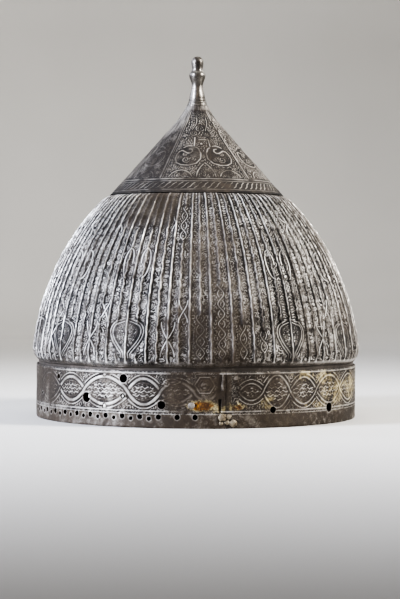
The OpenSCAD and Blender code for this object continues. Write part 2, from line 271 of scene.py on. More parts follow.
def scrollwork(drawing, inside, t0, t1, s0, s1, pitch, half, seed, value):
    """Small strokes on a loose grid, pitch mm apart, wherever inside(t, s) holds."""
    dice = np.random.default_rng(seed)
    rows = max(1, round((s1 - s0) / pitch))
    for i in range(rows):
        s = s0 + (i + 0.5) * (s1 - s0) / rows
        across = radians(t1 - t0) * drawing.radius(s)
        columns = max(1, round(across / pitch))
        for j in range(columns):
            t = t0 + (j + 0.5 + 0.25 * dice.uniform(-1, 1)) * (t1 - t0) / columns
            kind, turn, flip = dice.integers(0, 4), dice.uniform(-40, 40), dice.choice([-1, 1])
            if inside(t, s):
                stroke = drawing.put(SCROLLS[kind], t, s, turn, 0.36 * pitch, flip)
                drawing.strap(stroke, half, 0.35, value, -0.9)


print("kinds of scrolls:", len(SCROLLS))

# %% [markdown]
# ## The brow band's drawing
#
# Two broad straps run round the band and cross again and again, so that they close into lens
# shapes of uneven width. Each strap has a thin line along its outer side, and these lines meet in
# a V over each crossing. Fronds over small scrollwork fill the lenses, and scrolls the corners.
# One thin line under the band's upper edge and two over the lacing holes close the field.

# %% Where the straps cross
band = Drawing(BAND_H, lambda s: BAND_R, 110)
CHAIN_Z, GROUND = 23.0, -0.5  # the height of the crossings, and the relief of the cut ground
# the angle of each crossing, and the half height of the lens that follows it
LEFT_CHAIN = [(-64.0, 7.6), (-50.9, 8.8), (-33.3, 8.2), (-21.7, 6.4), (-10.6, 5.2), (-2.9, 0.0)]
RIGHT_CHAIN = [(4.4, 5.4), (13.0, 10.4), (23.4, 8.6), (35.2, 9.0)]
FAR_START, FAR_END, FAR_LENSES = 50.0, 296.0, 16  # round the back they are nearly even
far_step = (FAR_END - FAR_START) / FAR_LENSES
RIGHT_CHAIN += [(FAR_START + k * far_step, (8.6, 9.6, 7.8, 8.8)[k % 4]) for k in range(FAR_LENSES)]
RIGHT_CHAIN += [(FAR_END, 0.0)]
LENS_POINTS = 22


def swell(u):
    """A lens's height at share u of its length: 0 at both ends, 1 in the middle, and blunt."""
    return sin(pi * u) ** 0.8


def lens(a, b, height, side):
    """One side of the lens between two crossings: side is 1 for its upper strap, -1 for the lower."""
    shares = [k / LENS_POINTS for k in range(LENS_POINTS + 1)]
    return [(a + (b - a) * u, CHAIN_Z + side * height * swell(u)) for u in shares]


def beside(path, side, away, r):
    """The same path moved aside by away mm: side is 1 for its left and -1 for its right."""
    made = []
    for p, q in zip(path[:-1], path[1:]):
        dx, dy = radians(q[0] - p[0]) * r, q[1] - p[1]
        long = hypot(dx, dy)
        nx, ny = -dy / long * side, dx / long * side
        made.append(((p[0] + q[0]) / 2 + degrees(nx * away / r), (p[1] + q[1]) / 2 + ny * away))
    return made


print("crossings:", len(LEFT_CHAIN) + len(RIGHT_CHAIN) - 2)


# %% Fronds and straps
FROND_GAP, FROND_WAVE = 2.4, 4.6  # from row to row, and from one bend of a stem to the next


def fronds(a, b, height, seed):
    """Long wavy stems in rows along a lens, each with short leaves on both sides."""
    dice = np.random.default_rng(seed)
    wide = radians(b - a) * BAND_R
    rows = max(1, round(2 * height / FROND_GAP))
    for row in range(rows):
        y = height * ((2 * row + 1) / rows - 1)
        stem = []
        for x in np.arange(1.5, wide - 1.5, 0.45):
            bend = 0.45 * sin(2 * pi * x / FROND_WAVE + 2.3 * row)
            if abs(y) < height * swell(x / wide) - 0.3:
                stem.append((a + degrees(x / BAND_R), CHAIN_Z + y + bend))
        first = int(dice.integers(0, 9)) % 3
        lengths = [stem[k:k + 13] for k in range(0, len(stem), 14)]
        for length in lengths:
            band.paint(length, 0.75, -0.9)
        for k in range(first, len(stem), 3):
            side = 1 if (k // 3) % 2 else -1
            tip = (stem[k][0] + degrees(1.0 / BAND_R), stem[k][1] + 1.15 * side)
            band.paint([stem[k], tip], 0.22, 0.8)
        for length in lengths:
            band.paint(length, 0.3, 1.0)


def chain(cells, breadth):
    """Straps, their outer lines, what fills the lenses, and every second crossing again on top."""
    lenses = [(a, b, height) for (a, height), (b, _) in zip(cells[:-1], cells[1:]) if height]
    for a, b, height in lenses:
        for side in (1, -1):
            outer = beside(lens(a, b, height, side), side, 2.5, BAND_R)
            band.strap([spot for spot in outer if a <= spot[0] <= b], 0.38, 0.47, 1.0, -0.9)
    for a, b, height in lenses:
        def inside(t, s, a=a, b=b, height=height):
            u = min(max((t - a) / (b - a), 0), 1)
            return abs(s - CHAIN_Z) < height * swell(u) - 1.6

        low, high, seed = CHAIN_Z - height, CHAIN_Z + height, int(abs(a) * 10)
        scrollwork(band, inside, a, b, low, high, 2.4, 0.3, seed, 0.5)
        fronds(a, b, height - breadth - 1.0, seed)
        for side in (1, -1):
            band.strap(lens(a, b, height * 0.66, side)[3:-3], 0.25, 0.4, 0.7, -0.9)
        for side in (1, -1):
            band.strap(lens(a, b, height, side), breadth + 0.015 * height, 0.6, 0.65)
    for k, ((a, ha), (b, hb), (c, _)) in enumerate(zip(cells[:-2], cells[1:-1], cells[2:])):
        side = 1 if k % 2 else -1
        if ha and hb:
            over = lens(a, b, ha, side)[-6:] + lens(b, c, hb, -side)[1:6]
            band.paint(over[2:-2], breadth + 0.75, -1)
            band.paint(over, breadth + 0.15, 0.65)


band.relief[:] = GROUND
print("the band's drawing:", band.relief.shape)

# %% Corner scrolls first, then the straps over them
CORNERS = ((-66, -23, 0), (4, 296, 1))  # angles from and to, and a number for the seeds
TIE_T = -42.1


def between_lenses(t, s):
    return abs(s - CHAIN_Z) > 4.5


def squiggles(t0, t1, s, seed):
    """A row of upright double bends between two lenses, beside a border line."""
    dice = np.random.default_rng(seed)
    for t in np.arange(t0, t1, 1.35):
        turn, scale, flip = dice.uniform(-35, 35), dice.uniform(0.75, 1.0), dice.choice([-1, 1])
        band.strap(band.put(TENDRIL, t, s, turn, scale, flip), 0.32, 0.38, 0.95, -0.9)


for t0, t1, number in CORNERS:
    scrollwork(band, between_lenses, t0, t1, 11.8, 35, 3.1, 0.32, 11 + number, 1.0)
for t0, t1, number in CORNERS:
    squiggles(t0, t1, 12.2, 30 + number)
    squiggles(t0, t1, 29.4, 40 + number)
chain(LEFT_CHAIN, 0.85)
chain(RIGHT_CHAIN, 0.5)
scrollwork(band, anywhere, -13, -3.2, 11.6, 18, 2.3, 0.3, 13, 1.0)
for low, high in ((33.2, 35.6), (11.0, 13.4)):  # short bars tie the widest left lens to both borders
    band.strap([(TIE_T, low), (TIE_T, high)], 1.0)
print("share of the band that is raised:", band.share(0.5))

# %% [markdown]
# Left of the seam the straps end in a knot: a six-sided ring with a curl in it, and two long
# lenses. The plain strips right and left of the seam, the border lines and the bare strip with
# the lacing holes come last, over everything else.

# %% The knot, the plain strips and the borders
KNOT_T, KNOT_Z = -7.0, 27.5
for size, broad in ((6.4, 0.5), (4.2, 0.35)):
    six = [(size * cos(radians(60 * k)), size * 0.9 * sin(radians(60 * k))) for k in range(7)]
    band.strap(band.put(six, KNOT_T, KNOT_Z), broad)
band.paint(band.put(curl(2.8, 1.6), KNOT_T, KNOT_Z), 0.32, 0.9)
for t, s in ((-15.0, 29.5), (-15.5, 17.5)):
    band.strap(band.put(leaf(11, 3.6), t, s, 90), 0.35)
for t, s, size in ((-19.5, 28.5, 2.4), (-18.6, 20.5, 1.7), (-12, 33, 1.5), (-3.6, 30.5, 1.3),
                   (3.4, 32, 1.3)):
    band.paint(band.put(curl(size, 1.4, 40 * size), t, s), 0.34, 0.9)
tt, ss = band.tt, band.ss
plain = between(tt, -3.4, -2.9, 1.7, 2.1)
band.relief *= 1 - plain
band.field *= 0.55 * (1 - 0.8 * plain)
for s, half in ((34.7, 0.45), (10.8, 0.45), (9.2, 0.32)):
    band.border(s, half, 0.8)
bare = 1 - smooth_step(ss, 8.6, 9.0)
band.relief = band.relief * (1 - bare) + bare * 0.16 * band.patchy(4, 3)
band.field *= 1 - 0.75 * bare
print("share of the band that is raised:", band.share(0.5))

# %% [markdown]
# ## Wear and gilding on the band
#
# The band was gilded once. Gold is left in the corners near the seam and round the right side.
# Behind the left end of the strapwork the pattern is hammered nearly flat, and round the knot and
# just right of the seam the steel has gone brown. None of this changes the strokes: the drawing is
# only scaled down and stained in soft patches.

# %% Worn and gilded places
worn = between(-tt, 62, 70, 100, 112)
band.relief *= 1 - 0.75 * worn * (ss > 9)
band.relief *= 1 - 0.35 * smooth_step(band.patchy(16, 8), 0.1, 0.8)
knot = between(tt, -23, -18, -2.6, -1.8) * smooth_step(ss, 9, 11)
beyond = between(tt, 1, 3, 24, 34)
band.relief = band.relief * (1 - 0.1 * knot) - 0.35 * knot - 0.15 * beyond
stained = 0.3 * smooth_step(band.patchy(40, 9), 0.2, 0.9)
band.aged = np.clip(0.95 * knot + 0.45 * beyond + stained + 0.6 * bare * (tt < 0), 0, 1)
# angle, height, half width in degrees, half height in mm and amount of each patch of gold
GOLD = [(-8.0, 14.3, 3.3, 2.5, 4.0), (-2.0, 12.5, 3, 3, 0.9), (3.8, 13.6, 3.6, 2.8, 1.3),
        (14.5, 16, 4, 5, 0.8), (31, 33, 6, 4, 0.8), (41, 30, 9, 8, 0.7), (47, 22, 9, 12, 0.75),
        (35, 14, 7, 4, 0.6), (62, 24, 12, 13, 0.7), (-60, 30, 4, 4, 0.35), (150, 22, 14, 8, 0.5),
        (-140, 18, 12, 8, 0.4)]
for t, s, wide, high, amount in GOLD:
    d = ((tt - t) / wide) ** 2 + ((ss - s) / high) ** 2
    ragged = 0.5 + 0.5 * band.patchy(4, int(abs(t) * 7) + 1)
    band.gilt = np.maximum(band.gilt, amount * np.exp(-d) * (0.65 + 0.5 * ragged))
print("share of the band that is gilded:", round(float((band.gilt > 0.4).mean()), 3))

# %% [markdown]
# ## Rolling a sheet
#
# Bowl, band and cone are plates bent round the axis. Blender could spin a profile, but a spin of
# this many points is slow. A grid is made in one step instead, one cell for about half a
# millimetre, and rolled up: its x turns into the angle and its y into the place along a closed
# profile that runs up the outside and down the inside. The first and last rows meet and are
# merged, the two open ends are filled, and the plate is a closed shell. A plate goes round in
# several such sheets, so that each stays light enough for other tools.


# %% The rolled sheet
def stand(name, mesh):
    """Puts a mesh into the scene as a piece at the origin."""
    piece = bpy.data.objects.new(name, mesh)
    bpy.context.scene.collection.objects.link(piece)
    return piece


def finish_shell(bm, mesh, sharp=60):
    """Turns all faces outwards, fills the mesh and smooths every edge that bends less than sharp."""
    bmesh.ops.recalc_face_normals(bm, faces=bm.faces)
    for face in bm.faces:
        face.smooth = True
    bm.to_mesh(mesh)
    bm.free()
    mesh.set_sharp_from_angle(angle=radians(sharp))


def rolled(name, profile, t0, t1, columns, shape):
    """Rolls a grid from angle t0 to t1. profile is the closed run of (r, z) up the outside and down
    the inside; shape(t, row, r, z) gives each vertex its new r and z and its named masks."""
    rows = len(profile)
    bm = bmesh.new()
    bmesh.ops.create_grid(bm, x_segments=columns, y_segments=rows, size=1)
    mesh = bpy.data.meshes.new(name)
    bm.to_mesh(mesh)
    bm.free()
    flat = np.empty(len(mesh.vertices) * 3, np.float32)
    mesh.vertices.foreach_get("co", flat)
    flat = flat.reshape(-1, 3).astype(float)
    t = t0 + (t1 - t0) * (flat[:, 0] + 1) / 2
    row = np.rint((flat[:, 1] + 1) / 2 * rows).astype(int) % rows
    r, z, masks = shape(t, row, profile[row, 0], profile[row, 1])
    spun = np.stack([r * np.sin(np.radians(t)), -r * np.cos(np.radians(t)), z], 1) * MM
    mesh.vertices.foreach_set("co", spun.ravel().astype(np.float32))
    for mask, values in masks.items():
        data = mesh.attributes.new(mask, "FLOAT", "POINT").data
        data.foreach_set("value", values.astype(np.float32))
    return close(stand(name, mesh))


def close(piece):
    """Merges the seam of the profile and fills the two open ends."""
    bm = bmesh.new()
    bm.from_mesh(piece.data)
    bmesh.ops.remove_doubles(bm, verts=bm.verts, dist=2e-6)
    bmesh.ops.holes_fill(bm, edges=[e for e in bm.edges if e.is_boundary], sides=0)
    finish_shell(bm, piece.data)
    return piece


def hammered(t, s, r, seed, large, small):
    """The dents that a hammer leaves: large and small are each a (height, size) in mm."""
    return large[0] * patches(t, s, large[1], seed, r) + small[0] * patches(t, s, small[1], seed + 1, r)


def steps(*knots):
    """A profile through knots (r, z, cells): each stretch is cut into that many cells."""
    made = []
    for (r, z, cells), (r2, z2, _) in zip(knots, knots[1:] + knots[:1]):
        made += [(r + (r2 - r) * k / cells, z + (z2 - z) * k / cells) for k in range(cells)]
    return np.array(made)


FIFTHS = [(-89.6 + 72 * k, -17.6 + 72 * k) for k in range(5)]
print("sheets start at", [round(q[0], 1) for q in FIFTHS])

# %% [markdown]
# ## Holes
#
# A hole is drilled straight through a plate. In a mesh the cells inside the hole's circle are
# deleted from the outer and the inner wall, the torn edges are drawn to the true circle, and a
# bridge between the two edges makes the hole's wall.


# %% Drilling
def drill(piece, holes, deepest, highest):
    """Drills holes (angle, height, radius) through the walls that lie between two radii."""
    bm = bmesh.new()
    bm.from_mesh(piece.data)
    bm.faces.ensure_lookup_table()
    middle = np.array([face.calc_center_median() for face in bm.faces]) / MM
    wall = np.hypot(middle[:, 0], middle[:, 1])
    doomed, drilled = set(), []
    for t, z, r in holes:
        out, side = (sin(radians(t)), -cos(radians(t))), (cos(radians(t)), sin(radians(t)))
        across = middle[:, 0] * side[0] + middle[:, 1] * side[1]
        ahead = middle[:, 0] * out[0] + middle[:, 1] * out[1]
        cells = np.nonzero((np.hypot(across, middle[:, 2] - z) < r) & (ahead > 0)
                           & (wall > deepest) & (wall < highest))[0]
        if len(cells):
            doomed |= set(cells.tolist())
            drilled.append((z, r, out, side))
    bmesh.ops.delete(bm, geom=[bm.faces[i] for i in doomed], context="FACES")
    torn = [e for e in bm.edges if e.is_boundary]
    for z, r, out, side in drilled:
        def off(v):
            x, y = v.co.x / MM, v.co.y / MM
            return x * side[0] + y * side[1], v.co.z / MM - z, x * out[0] + y * out[1]

        rim = []
        for edge in torn:
            near = [off(v) for v in edge.verts]
            if all(hypot(x, y) < r + 0.9 and ahead > 0 for x, y, ahead in near):
                rim.append(edge)
        for v in {v for e in rim for v in e.verts}:
            x, y, ahead = off(v)
            x, y = x * r / hypot(x, y), y * r / hypot(x, y)
            v.co = Vector((ahead * out[0] + x * side[0], ahead * out[1] + x * side[1], z + y)) * MM
        bmesh.ops.bridge_loops(bm, edges=rim)
    finish_shell(bm, piece.data)
    return len(drilled)


# angle, height and radius of each hole
FITTING_HOLES = [(-65, 30, 1.6), (-34.8, 31, 2.65), (-49.8, 18, 3.2), (-35, 19.8, 1.65),
                 (-21.4, 14.8, 2.45), (16.6, 11.5, 2.05), (42.6, 10.8, 3), (-79, 17.7, 1)]
LACE_Z, LACE_R, LACE_START, LACE_STEP, LACES = 7.2, 1.6, -22.4, 3.2, 48
LACING = [(t, LACE_Z, LACE_R) for t in (-10.2, -16.1)]
for k in range(LACES):  # every second hole of the row is lower and smaller
    t = LACE_START - LACE_STEP * k
    LACING.append((t, LACE_Z - 1.2, 1.25) if k % 2 else (t, LACE_Z, LACE_R))
HOLES = FITTING_HOLES + LACING


def within(holes, a, b):
    """Those of the holes that lie between angles a and b."""
    return [hole for hole in holes if a < (hole[0] - a) % 360 + a < b]


print("holes:", len(HOLES))

# %% [markdown]
# ## The brow band
#
# The band is one straight strip bent to a ring, and its two ends meet at the front. The drawing
# moves its outer wall by about an eighth of a millimetre, which is as deep as such cutting goes.
# Besides the relief, each vertex keeps six masks for the finish: what is raised, sunk, gilt, free
# for finer scrolls, aged, or inside.


# %% Band sheets
BAND_CELLS, END_CELLS, CUT_DEPTH = 72, 3, 0.13
SKIN = 0.1  # the drawn walls lie this far behind the measured ones, so that dents stay inside them
band_profile = steps((BAND_R - 0.12, 0.0, BAND_CELLS), (BAND_R - 0.12, BAND_H, END_CELLS),
                     (BAND_IN_R, BAND_H, BAND_CELLS), (BAND_IN_R, 0.0, END_CELLS))


def band_shape(t, row, r, z):
    outer = row <= BAND_CELLS
    inner = (row >= BAND_CELLS + END_CELLS) & (row <= 2 * BAND_CELLS + END_CELLS)
    cut, masks = band.masks(t, z, outer)
    dents = hammered(t, z, 110, 31, (0.10, 22), (0.03, 5))
    edge = smooth_step(z, 0, 0.8) * smooth_step(BAND_H - z, 0, 0.8)
    r = r + np.where(outer, cut * CUT_DEPTH * edge - SKIN + dents - 0.35 * (1 - edge), 0)
    r = r - np.where(inner, SKIN - dents, 0)
    slot = between(t, -2.55, -2.4, -1.6, -1.45) * between(z, 9.8, 10.4, 18.2, 18.8)
    r = r - np.where(outer, 0.9 * slot, 0)
    masks["sunk"] = np.where(outer, masks["sunk"] + slot, 0.4)
    masks["inside"] = np.where(inner, 1.0, 0.0)
    return r, z, masks


for t, z, r in HOLES:  # the edge of each hole is worn bright
    band.paint(band.put(arc(0, 0, r + 0.35, 0, 360, 20), t, z), 0.35, 0.5)
band.soften()
band_pieces = []
for number, (a, b) in enumerate([(-91.1, -0.1), (0.1, 90.0), (90.0, 180.0), (180.0, 268.9)]):
    piece = rolled(f"brow_band_{number + 1}", band_profile, a, b, 346, band_shape)
    drilled = drill(piece, within(HOLES, a, b), BAND_IN_R - 2, BAND_R + 2)
    band_pieces.append(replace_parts(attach(piece, "root"), "brow_band"))
    print(piece.name, len(piece.data.polygons), "faces,", drilled, "holes")

# %% [markdown]
# ## The bowl's drawing
#
# A hundred flutes run up the bowl. Every second ridge between them is a straight, sharp crest. The
# ridges between are cut into wavy lines, and the flutes are filled with small strokes. Drops with
# double outlines stand round the foot of the bowl, each split by a crest. The drawing's height
# follows the bowl's curve, so a helper turns a height over the rim into it.

# %% The bowl's curve
low, high = np.array([BOWL_R, WIDE_Z]), np.array([SHOULDER_R, SHOULDER_Z])
chord = high - low
lean = sqrt(BOWL_ARC_R**2 - (np.linalg.norm(chord) / 2) ** 2) / np.linalg.norm(chord)
arc_centre = (low + high) / 2 + lean * np.array([-chord[1], chord[0]])
ARC_LOW = atan2(low[1] - arc_centre[1], low[0] - arc_centre[0])
ARC_HIGH = atan2(high[1] - arc_centre[1], high[0] - arc_centre[0])
BOWL_S = 10.0  # the curve starts this far up the drawing
BOWL_TOP = BOWL_S + BOWL_ARC_R * (ARC_HIGH - ARC_LOW)


def bowl_point(s, inset=0.0):
    """The bowl's side at height s of the drawing: radius, height and outward direction."""
    if s < BOWL_S:
        u = 1 - s / BOWL_S
        return BOWL_R - GROOVE_DEPTH * u**2.2 - inset, WIDE_Z - (WIDE_Z - GROOVE_Z) * u, 1.0, 0.0
    a = ARC_LOW + (s - BOWL_S) / BOWL_ARC_R
    r = BOWL_ARC_R - inset
    return arc_centre[0] + r * cos(a), arc_centre[1] + r * sin(a), cos(a), sin(a)


def up(z):
    """Height over the rim to height on the drawing."""
    if z < WIDE_Z:
        return BOWL_S * (z - GROOVE_Z) / (WIDE_Z - GROOVE_Z)
    a = np.arcsin((z - arc_centre[1]) / BOWL_ARC_R)
    return float(BOWL_S + BOWL_ARC_R * (a - ARC_LOW))


bowl = Drawing(BOWL_TOP + 1, lambda s: bowl_point(s)[0], 105)
print("bowl curve:", round(BOWL_TOP - BOWL_S, 1), "mm, drawing", bowl.relief.shape)

# %% Columns of small strokes up every flute
dice = np.random.default_rng(20)
WIDE_FLUTE = 7.1  # mm from crest to crest where the bowl is widest, for which the strokes are sized
# points, size and step up the flute
MOTIFS = {"curls": (curl(1, 1.3), 1.5, 3.0), "waves": (TENDRIL, 1.15, 4.5),
          "chevrons": (CHEVRON, 1.4, 2.3), "lozenges": (lozenge(1.7, 2.6), 1.5, 4.1),
          "leaves": (leaf(3, 1.5), 1.4, 4.4)}


def column(t, s, top, motif, size):
    """One motif again and again up a flute, turned over at each step."""
    points, scale, pitch = MOTIFS[motif]
    turn = 90 if motif == "chevrons" else 0
    flip = 1
    while s < top:
        grown = size * dice.uniform(0.8, 1.15)
        aside, tilt = dice.uniform(-0.25, 0.25), dice.uniform(-22, 22)
        lines = bowl.put(points, t + aside, s, turn + tilt, scale * grown, flip)
        bowl.strap(lines, 0.3, 0.36, dice.uniform(0.6, 1.0), -0.85)
        flip = -flip
        s += pitch * grown


for k in range(FLUTES):
    middle = FLUTE_START + FLUTE_STEP * (k + 0.5)
    s = 8 + dice.uniform(0, 4)
    while s < BOWL_TOP - 5:
        long = dice.uniform(7, 19)
        size = radians(FLUTE_STEP) * bowl.radius(s) / WIDE_FLUTE
        if dice.uniform() < 0.78:
            aside, motif = dice.uniform(-0.3, 0.3), dice.choice(list(MOTIFS))
            column(middle + aside, s, min(s + long, BOWL_TOP - 3), motif, size)
        s += long + dice.uniform(0.5, 4)
print("strokes cover", bowl.share(0.4), "of the bowl")

# %% [markdown]
# The hanging drops sit on straight crests, mostly on every fourth one, with none in the middle of
# the front. Each has a double outline, and three curls in each half. Higher up a crook turns
# outwards on each side of the crest, and over it hangs a shallow double line. Between the drops
# lines cross in three rows.

# %% Hanging drops and crossing lines
tt, ss = bowl.tt, bowl.ss
CRESTS = (-9, -5, 3, 7, 11, 15, 19, 23, 27, 31, 35, 38)
DROPS = [FLUTE_START + 2 * FLUTE_STEP * crest for crest in CRESTS]
DROP_FOOT, DROP_HALF = 45.0, 11.2  # height over the rim, and half the drop's length
FOOT_R = 112.0  # about the bowl's radius there


def calm_down(t, z, wide, tall):
    """Leaves out the ridge between two crests inside an oval."""
    around = (tt - t + 180) % 360 - 180
    d = np.abs(around / wide) ** 3 + np.abs((ss - up(z)) / tall) ** 3
    bowl.calm = np.maximum(bowl.calm, 1 - smooth_step(d, 0.7, 1.2))


def double(path, half, apart, value):
    """Two bright lines side by side on a dark ground."""
    bowl.paint(path, half + apart + 0.5, -1)
    for side in (-1, 1):
        bowl.paint(beside(path, side, apart, FOOT_R), half, value)


for number, t in enumerate(DROPS):
    wide, lift = 4.3 + 0.3 * sin(number * 2.1), 1.4 * sin(number * 1.3)
    calm_down(t, 55 + lift, wide + 0.6, 12)
    turns = np.linspace(0.1, 1, 24) * pi
    widths = wide * (np.sin(turns) * np.sin(turns / 2) / 0.77) ** 1.3
    heights = [up(z) for z in DROP_FOOT + lift + DROP_HALF * (1 - np.cos(turns))]
    for side in (-1, 1):
        ground = [(t + side * (0.9 + x), s) for x, s in zip(widths, heights)]
        bowl.paint(ground[4:], 2.6, -0.85)
        outline = [(t + side * 1.3, up(41.5))]
        for turn, x, s in zip(turns, widths, heights):
            outline.append((t + side * (1.1 + x) * min(1, 0.15 + 4 * (1 - turn / pi)), s))
        double(outline, 0.36, 0.85, 0.75)
        for z, aside, size in ((52.8, 1.8, 1.2), (57.2, 2.3, 1.7), (62.4, 2.3, 1.8)):
            ring = bowl.put(curl(1, 1.15, 90), t + side * aside, up(z + lift), 0, size, side)
            bowl.strap(ring, 0.24, 0.46, 0.8)
        crook = [(t + side * (3.7 + 1.9 * sin(a)), up(106 + lift + 7 * cos(a) - 3 * max(0, a - 1.6)))
                 for a in np.linspace(-1.9, 3.4, 18)]
        bowl.strap(crook, 0.42, 0.6, 1.0)
    half = t + 4 * FLUTE_STEP
    for across, z, reach, tall in ((half, 56.3, 2.3, 11), (half + 5, 74.1, 1.5, 7), (half, 131, 1.7, 5)):
        calm_down(across, z, 1.6, 0.8 * tall)
        for side in (-1, 1):
            line = [(across + side * reach * sin(pi / 2 * u), up(z + tall * u))
                    for u in np.linspace(-1, 1, 15)]
            bowl.strap(line, 0.42, 0.5, 1.0)
    sag = 124.5 + 2 * sin(number * 2.9)
    double([(t + 3.4 * u, up(sag + 3.5 * u * u)) for u in np.linspace(-1, 1, 12)], 0.3, 0.5, 0.8)
print("drops:", len(DROPS))

# %% [markdown]
# Over each drop the flute narrows to a string of beads, and here and there a short bar or a
# three-lobed leaf breaks the row. In some broad stretches between two crests the ridge is left out,
# and two wavy lines weave up over small scrollwork instead. These few are listed one by one.

# %% Beads, weaves, bars and leaves
for number, t in enumerate(DROPS):
    for side in (-1, 1):
        for k in range(7):
            s = up(68 + 1.7 * k + 1.6 * sin(number * 1.3))
            bead = bowl.put([(-0.9, 0), (0.9, 0)], t + side * 1.8, s, 12 * side)
            bowl.strap(bead, 0.32, 0.3, 0.85, -0.7)
# angle of each weave, and the heights over the rim where it starts and ends
WEAVES = [(-1.4, 44, 92), (-8.6, 44, 72), (5.8, 44, 66), (-15.8, 120, 142), (13.0, 48, 62),
          (63.4, 50, 90), (106.6, 60, 96), (-123.8, 50, 84), (153.4, 62, 100), (-166.9, 56, 86)]
WEAVE_FIELD = 2.9  # degrees of scrollwork to each side of its middle
for number, (t, z0, z1) in enumerate(WEAVES):
    calm_down(t, (z0 + z1) / 2, 2.4, (z1 - z0) / 2)
    bowl.paint([(t, up(z0)), (t, up(z1))], 2.7, -0.6)
    scrollwork(bowl, anywhere, t - WEAVE_FIELD, t + WEAVE_FIELD, up(z0), up(z1), 2.5, 0.32,
               70 + number, 0.9)
    tall, reach = 6.4 + 1.1 * (number % 3), 1.1 + 0.2 * (number % 2)
    for side in (-1, 1):
        weave = [(t + side * reach * sin(pi * (z - z0) / tall), up(z)) for z in np.arange(z0, z1, 0.9)]
        bowl.strap(weave, 0.34, 0.5, 0.95)
BARS = [(8.9, 121.5), (38, 64), (-41, 84), (70, 60), (130, 72), (-120, 90), (180, 66)]
for t, z in BARS:
    bowl.strap(bowl.put([(-2.6, 0), (2.6, 0)], t, up(z)), 0.4, 0.4, 0.65)
LEAVES = [(-24, 100), (20, 110), (-10, 118), (60, 96), (150, 110), (-150, 96), (33, 96), (-46, 104)]
for t, z in LEAVES:
    for turn in (-55, 0, 55):
        lobe = bowl.put(leaf(2.8, 1.4), t, up(z), turn)
        bowl.strap(lobe, 0.34, 0.31, 1.0, -0.8)
print("weaves, bars, leaves:", len(WEAVES), len(BARS), len(LEAVES))

# %% [markdown]
# The bowl's ornament is rubbed down in patches and nearly gone in one place high on the left. The
# middle of the front is darker and browner. A place under the cone is painted darker as the cone's
# shadow, and a strip far round on the right is painted darker as shade; both also go into the brown
# mask. A trace of gold is left in spots.

# %% Wear and painted shade on the bowl
patchy = bowl.patchy
bowl.relief *= 1 - 0.35 * smooth_step(patchy(26, 41), 0.1, 0.9)
faded = np.exp(-(((tt + 40) / 11) ** 2) - ((ss - up(136)) / 11) ** 2)
foot = smooth_step(ss, 2.6, 4.6)
bowl.relief *= foot * (1 - 0.7 * faded)
bowl.field *= (0.3 + 0.7 * foot) * (1 - 0.6 * faded) * (0.75 + 0.25 * patchy(15, 42))
centre = np.exp(-(((tt + 4) / 17) ** 2)) * (1 - 0.5 * smooth_step(ss, 60, 110))
# painted shadow of the cone's lip, high on the left under the cone
shade = np.exp(-(((tt + 33) / 14) ** 2)) * smooth_step(ss, up(122), up(138))
# painted shade far round on the right, where less light falls
far_right_shade = between(tt, 40, 62, 100, 120)
bowl.relief -= 0.9 * shade + 0.2 * centre + 0.25 * far_right_shade
stained = 0.35 * smooth_step(patchy(45, 43), 0.0, 0.9)
# the painted shadow and painted shade also turn brown in the brown mask, beside the real stains
bowl.aged = np.clip(0.8 * centre + 0.9 * shade + 0.25 * far_right_shade + stained, 0, 1)
bowl.gilt = 0.12 * smooth_step(patchy(9, 44), 0.45, 0.95) * (0.3 + centre)
bowl.soften()
print("share of the bowl that is raised:", bowl.share(0.5))

# %% [markdown]
# ## The fluted bowl
#
# The profile runs up the outside from the flange behind the band, over the lip, along the curve to
# the shoulder and under the cone, and back down the inside, where it needs few rows. Between two
# ridges the wall sinks in a hollow curve, so the ridges stay sharp. At its foot every ridge spreads
# before it fades into the plain lip.

# %% The bowl's profile
FLANGE_CELLS, LIP_CELLS, FOOT_CELLS, CURVE_CELLS, LEDGE_CELLS, BACK_CELLS = 16, 3, 16, 232, 8, 27
LEDGE_WIDE, LEDGE_RISE, CROWN_TALL, CROWN_GAP = 4.5, 2, 10, 0.15
BACK_R = TUCK_R - BOWL_T
lip_out, lip_rise = BOWL_R - GROOVE_DEPTH - TUCK_R, GROOVE_Z - LIP_FOOT_Z
slant = np.array([FLARE_R - CONE_R, FLARE_Z - LIP_Z])  # the direction of the cone's side
slant = slant / np.linalg.norm(slant)
inward = np.array([-slant[1], slant[0]])
crown_foot = np.array([CONE_R - (CONE_T + CROWN_GAP) / slant[1], LIP_Z - CROWN_GAP])
crown_top = crown_foot + CROWN_TALL * slant
bowl_rows = []  # radius, height, outward direction, height on the drawing, kind
for k in range(FLANGE_CELLS):
    z = FLANGE_Z + (LIP_FOOT_Z - FLANGE_Z) * k / FLANGE_CELLS
    bowl_rows.append((TUCK_R, z, 1, 0, -1, "flange"))
for u in np.arange(LIP_CELLS) / LIP_CELLS:
    bowl_rows.append((TUCK_R + lip_out * u, LIP_FOOT_Z + lip_rise * u, 1, 0, 0, "lip"))
heights = [BOWL_S * k / FOOT_CELLS for k in range(FOOT_CELLS)]
heights += [BOWL_S + (BOWL_TOP - BOWL_S) * k / CURVE_CELLS for k in range(CURVE_CELLS + 1)]
for s in heights:
    bowl_rows.append((*bowl_point(s), s, "outer"))
for k in range(1, LEDGE_CELLS + 1):
    u = k / LEDGE_CELLS
    spot = SHOULDER_R - LEDGE_WIDE * u, SHOULDER_Z + LEDGE_RISE * u
    bowl_rows.append((*spot, 0.3, 0.95, BOWL_TOP, "ledge"))
for spot in (crown_foot, (crown_foot + crown_top) / 2, crown_top, crown_top + BOWL_T * inward,
             crown_foot + BOWL_T * inward):
    bowl_rows.append((*spot, 0, 0, BOWL_TOP, "crown"))
for k in range(BACK_CELLS, -1, -1):
    point = bowl_point(BOWL_S + (BOWL_TOP - BOWL_S) * k / BACK_CELLS, FLUTE_DEPTH + BOWL_T)
    bowl_rows.append((*point, -1, "inner"))
for k in range(3):  # the inside bends back under the lip
    bowl_rows.append((109.4 - 1.0 * k, 44.0 - 1.8 * k, 1, 0, -1, "inner"))
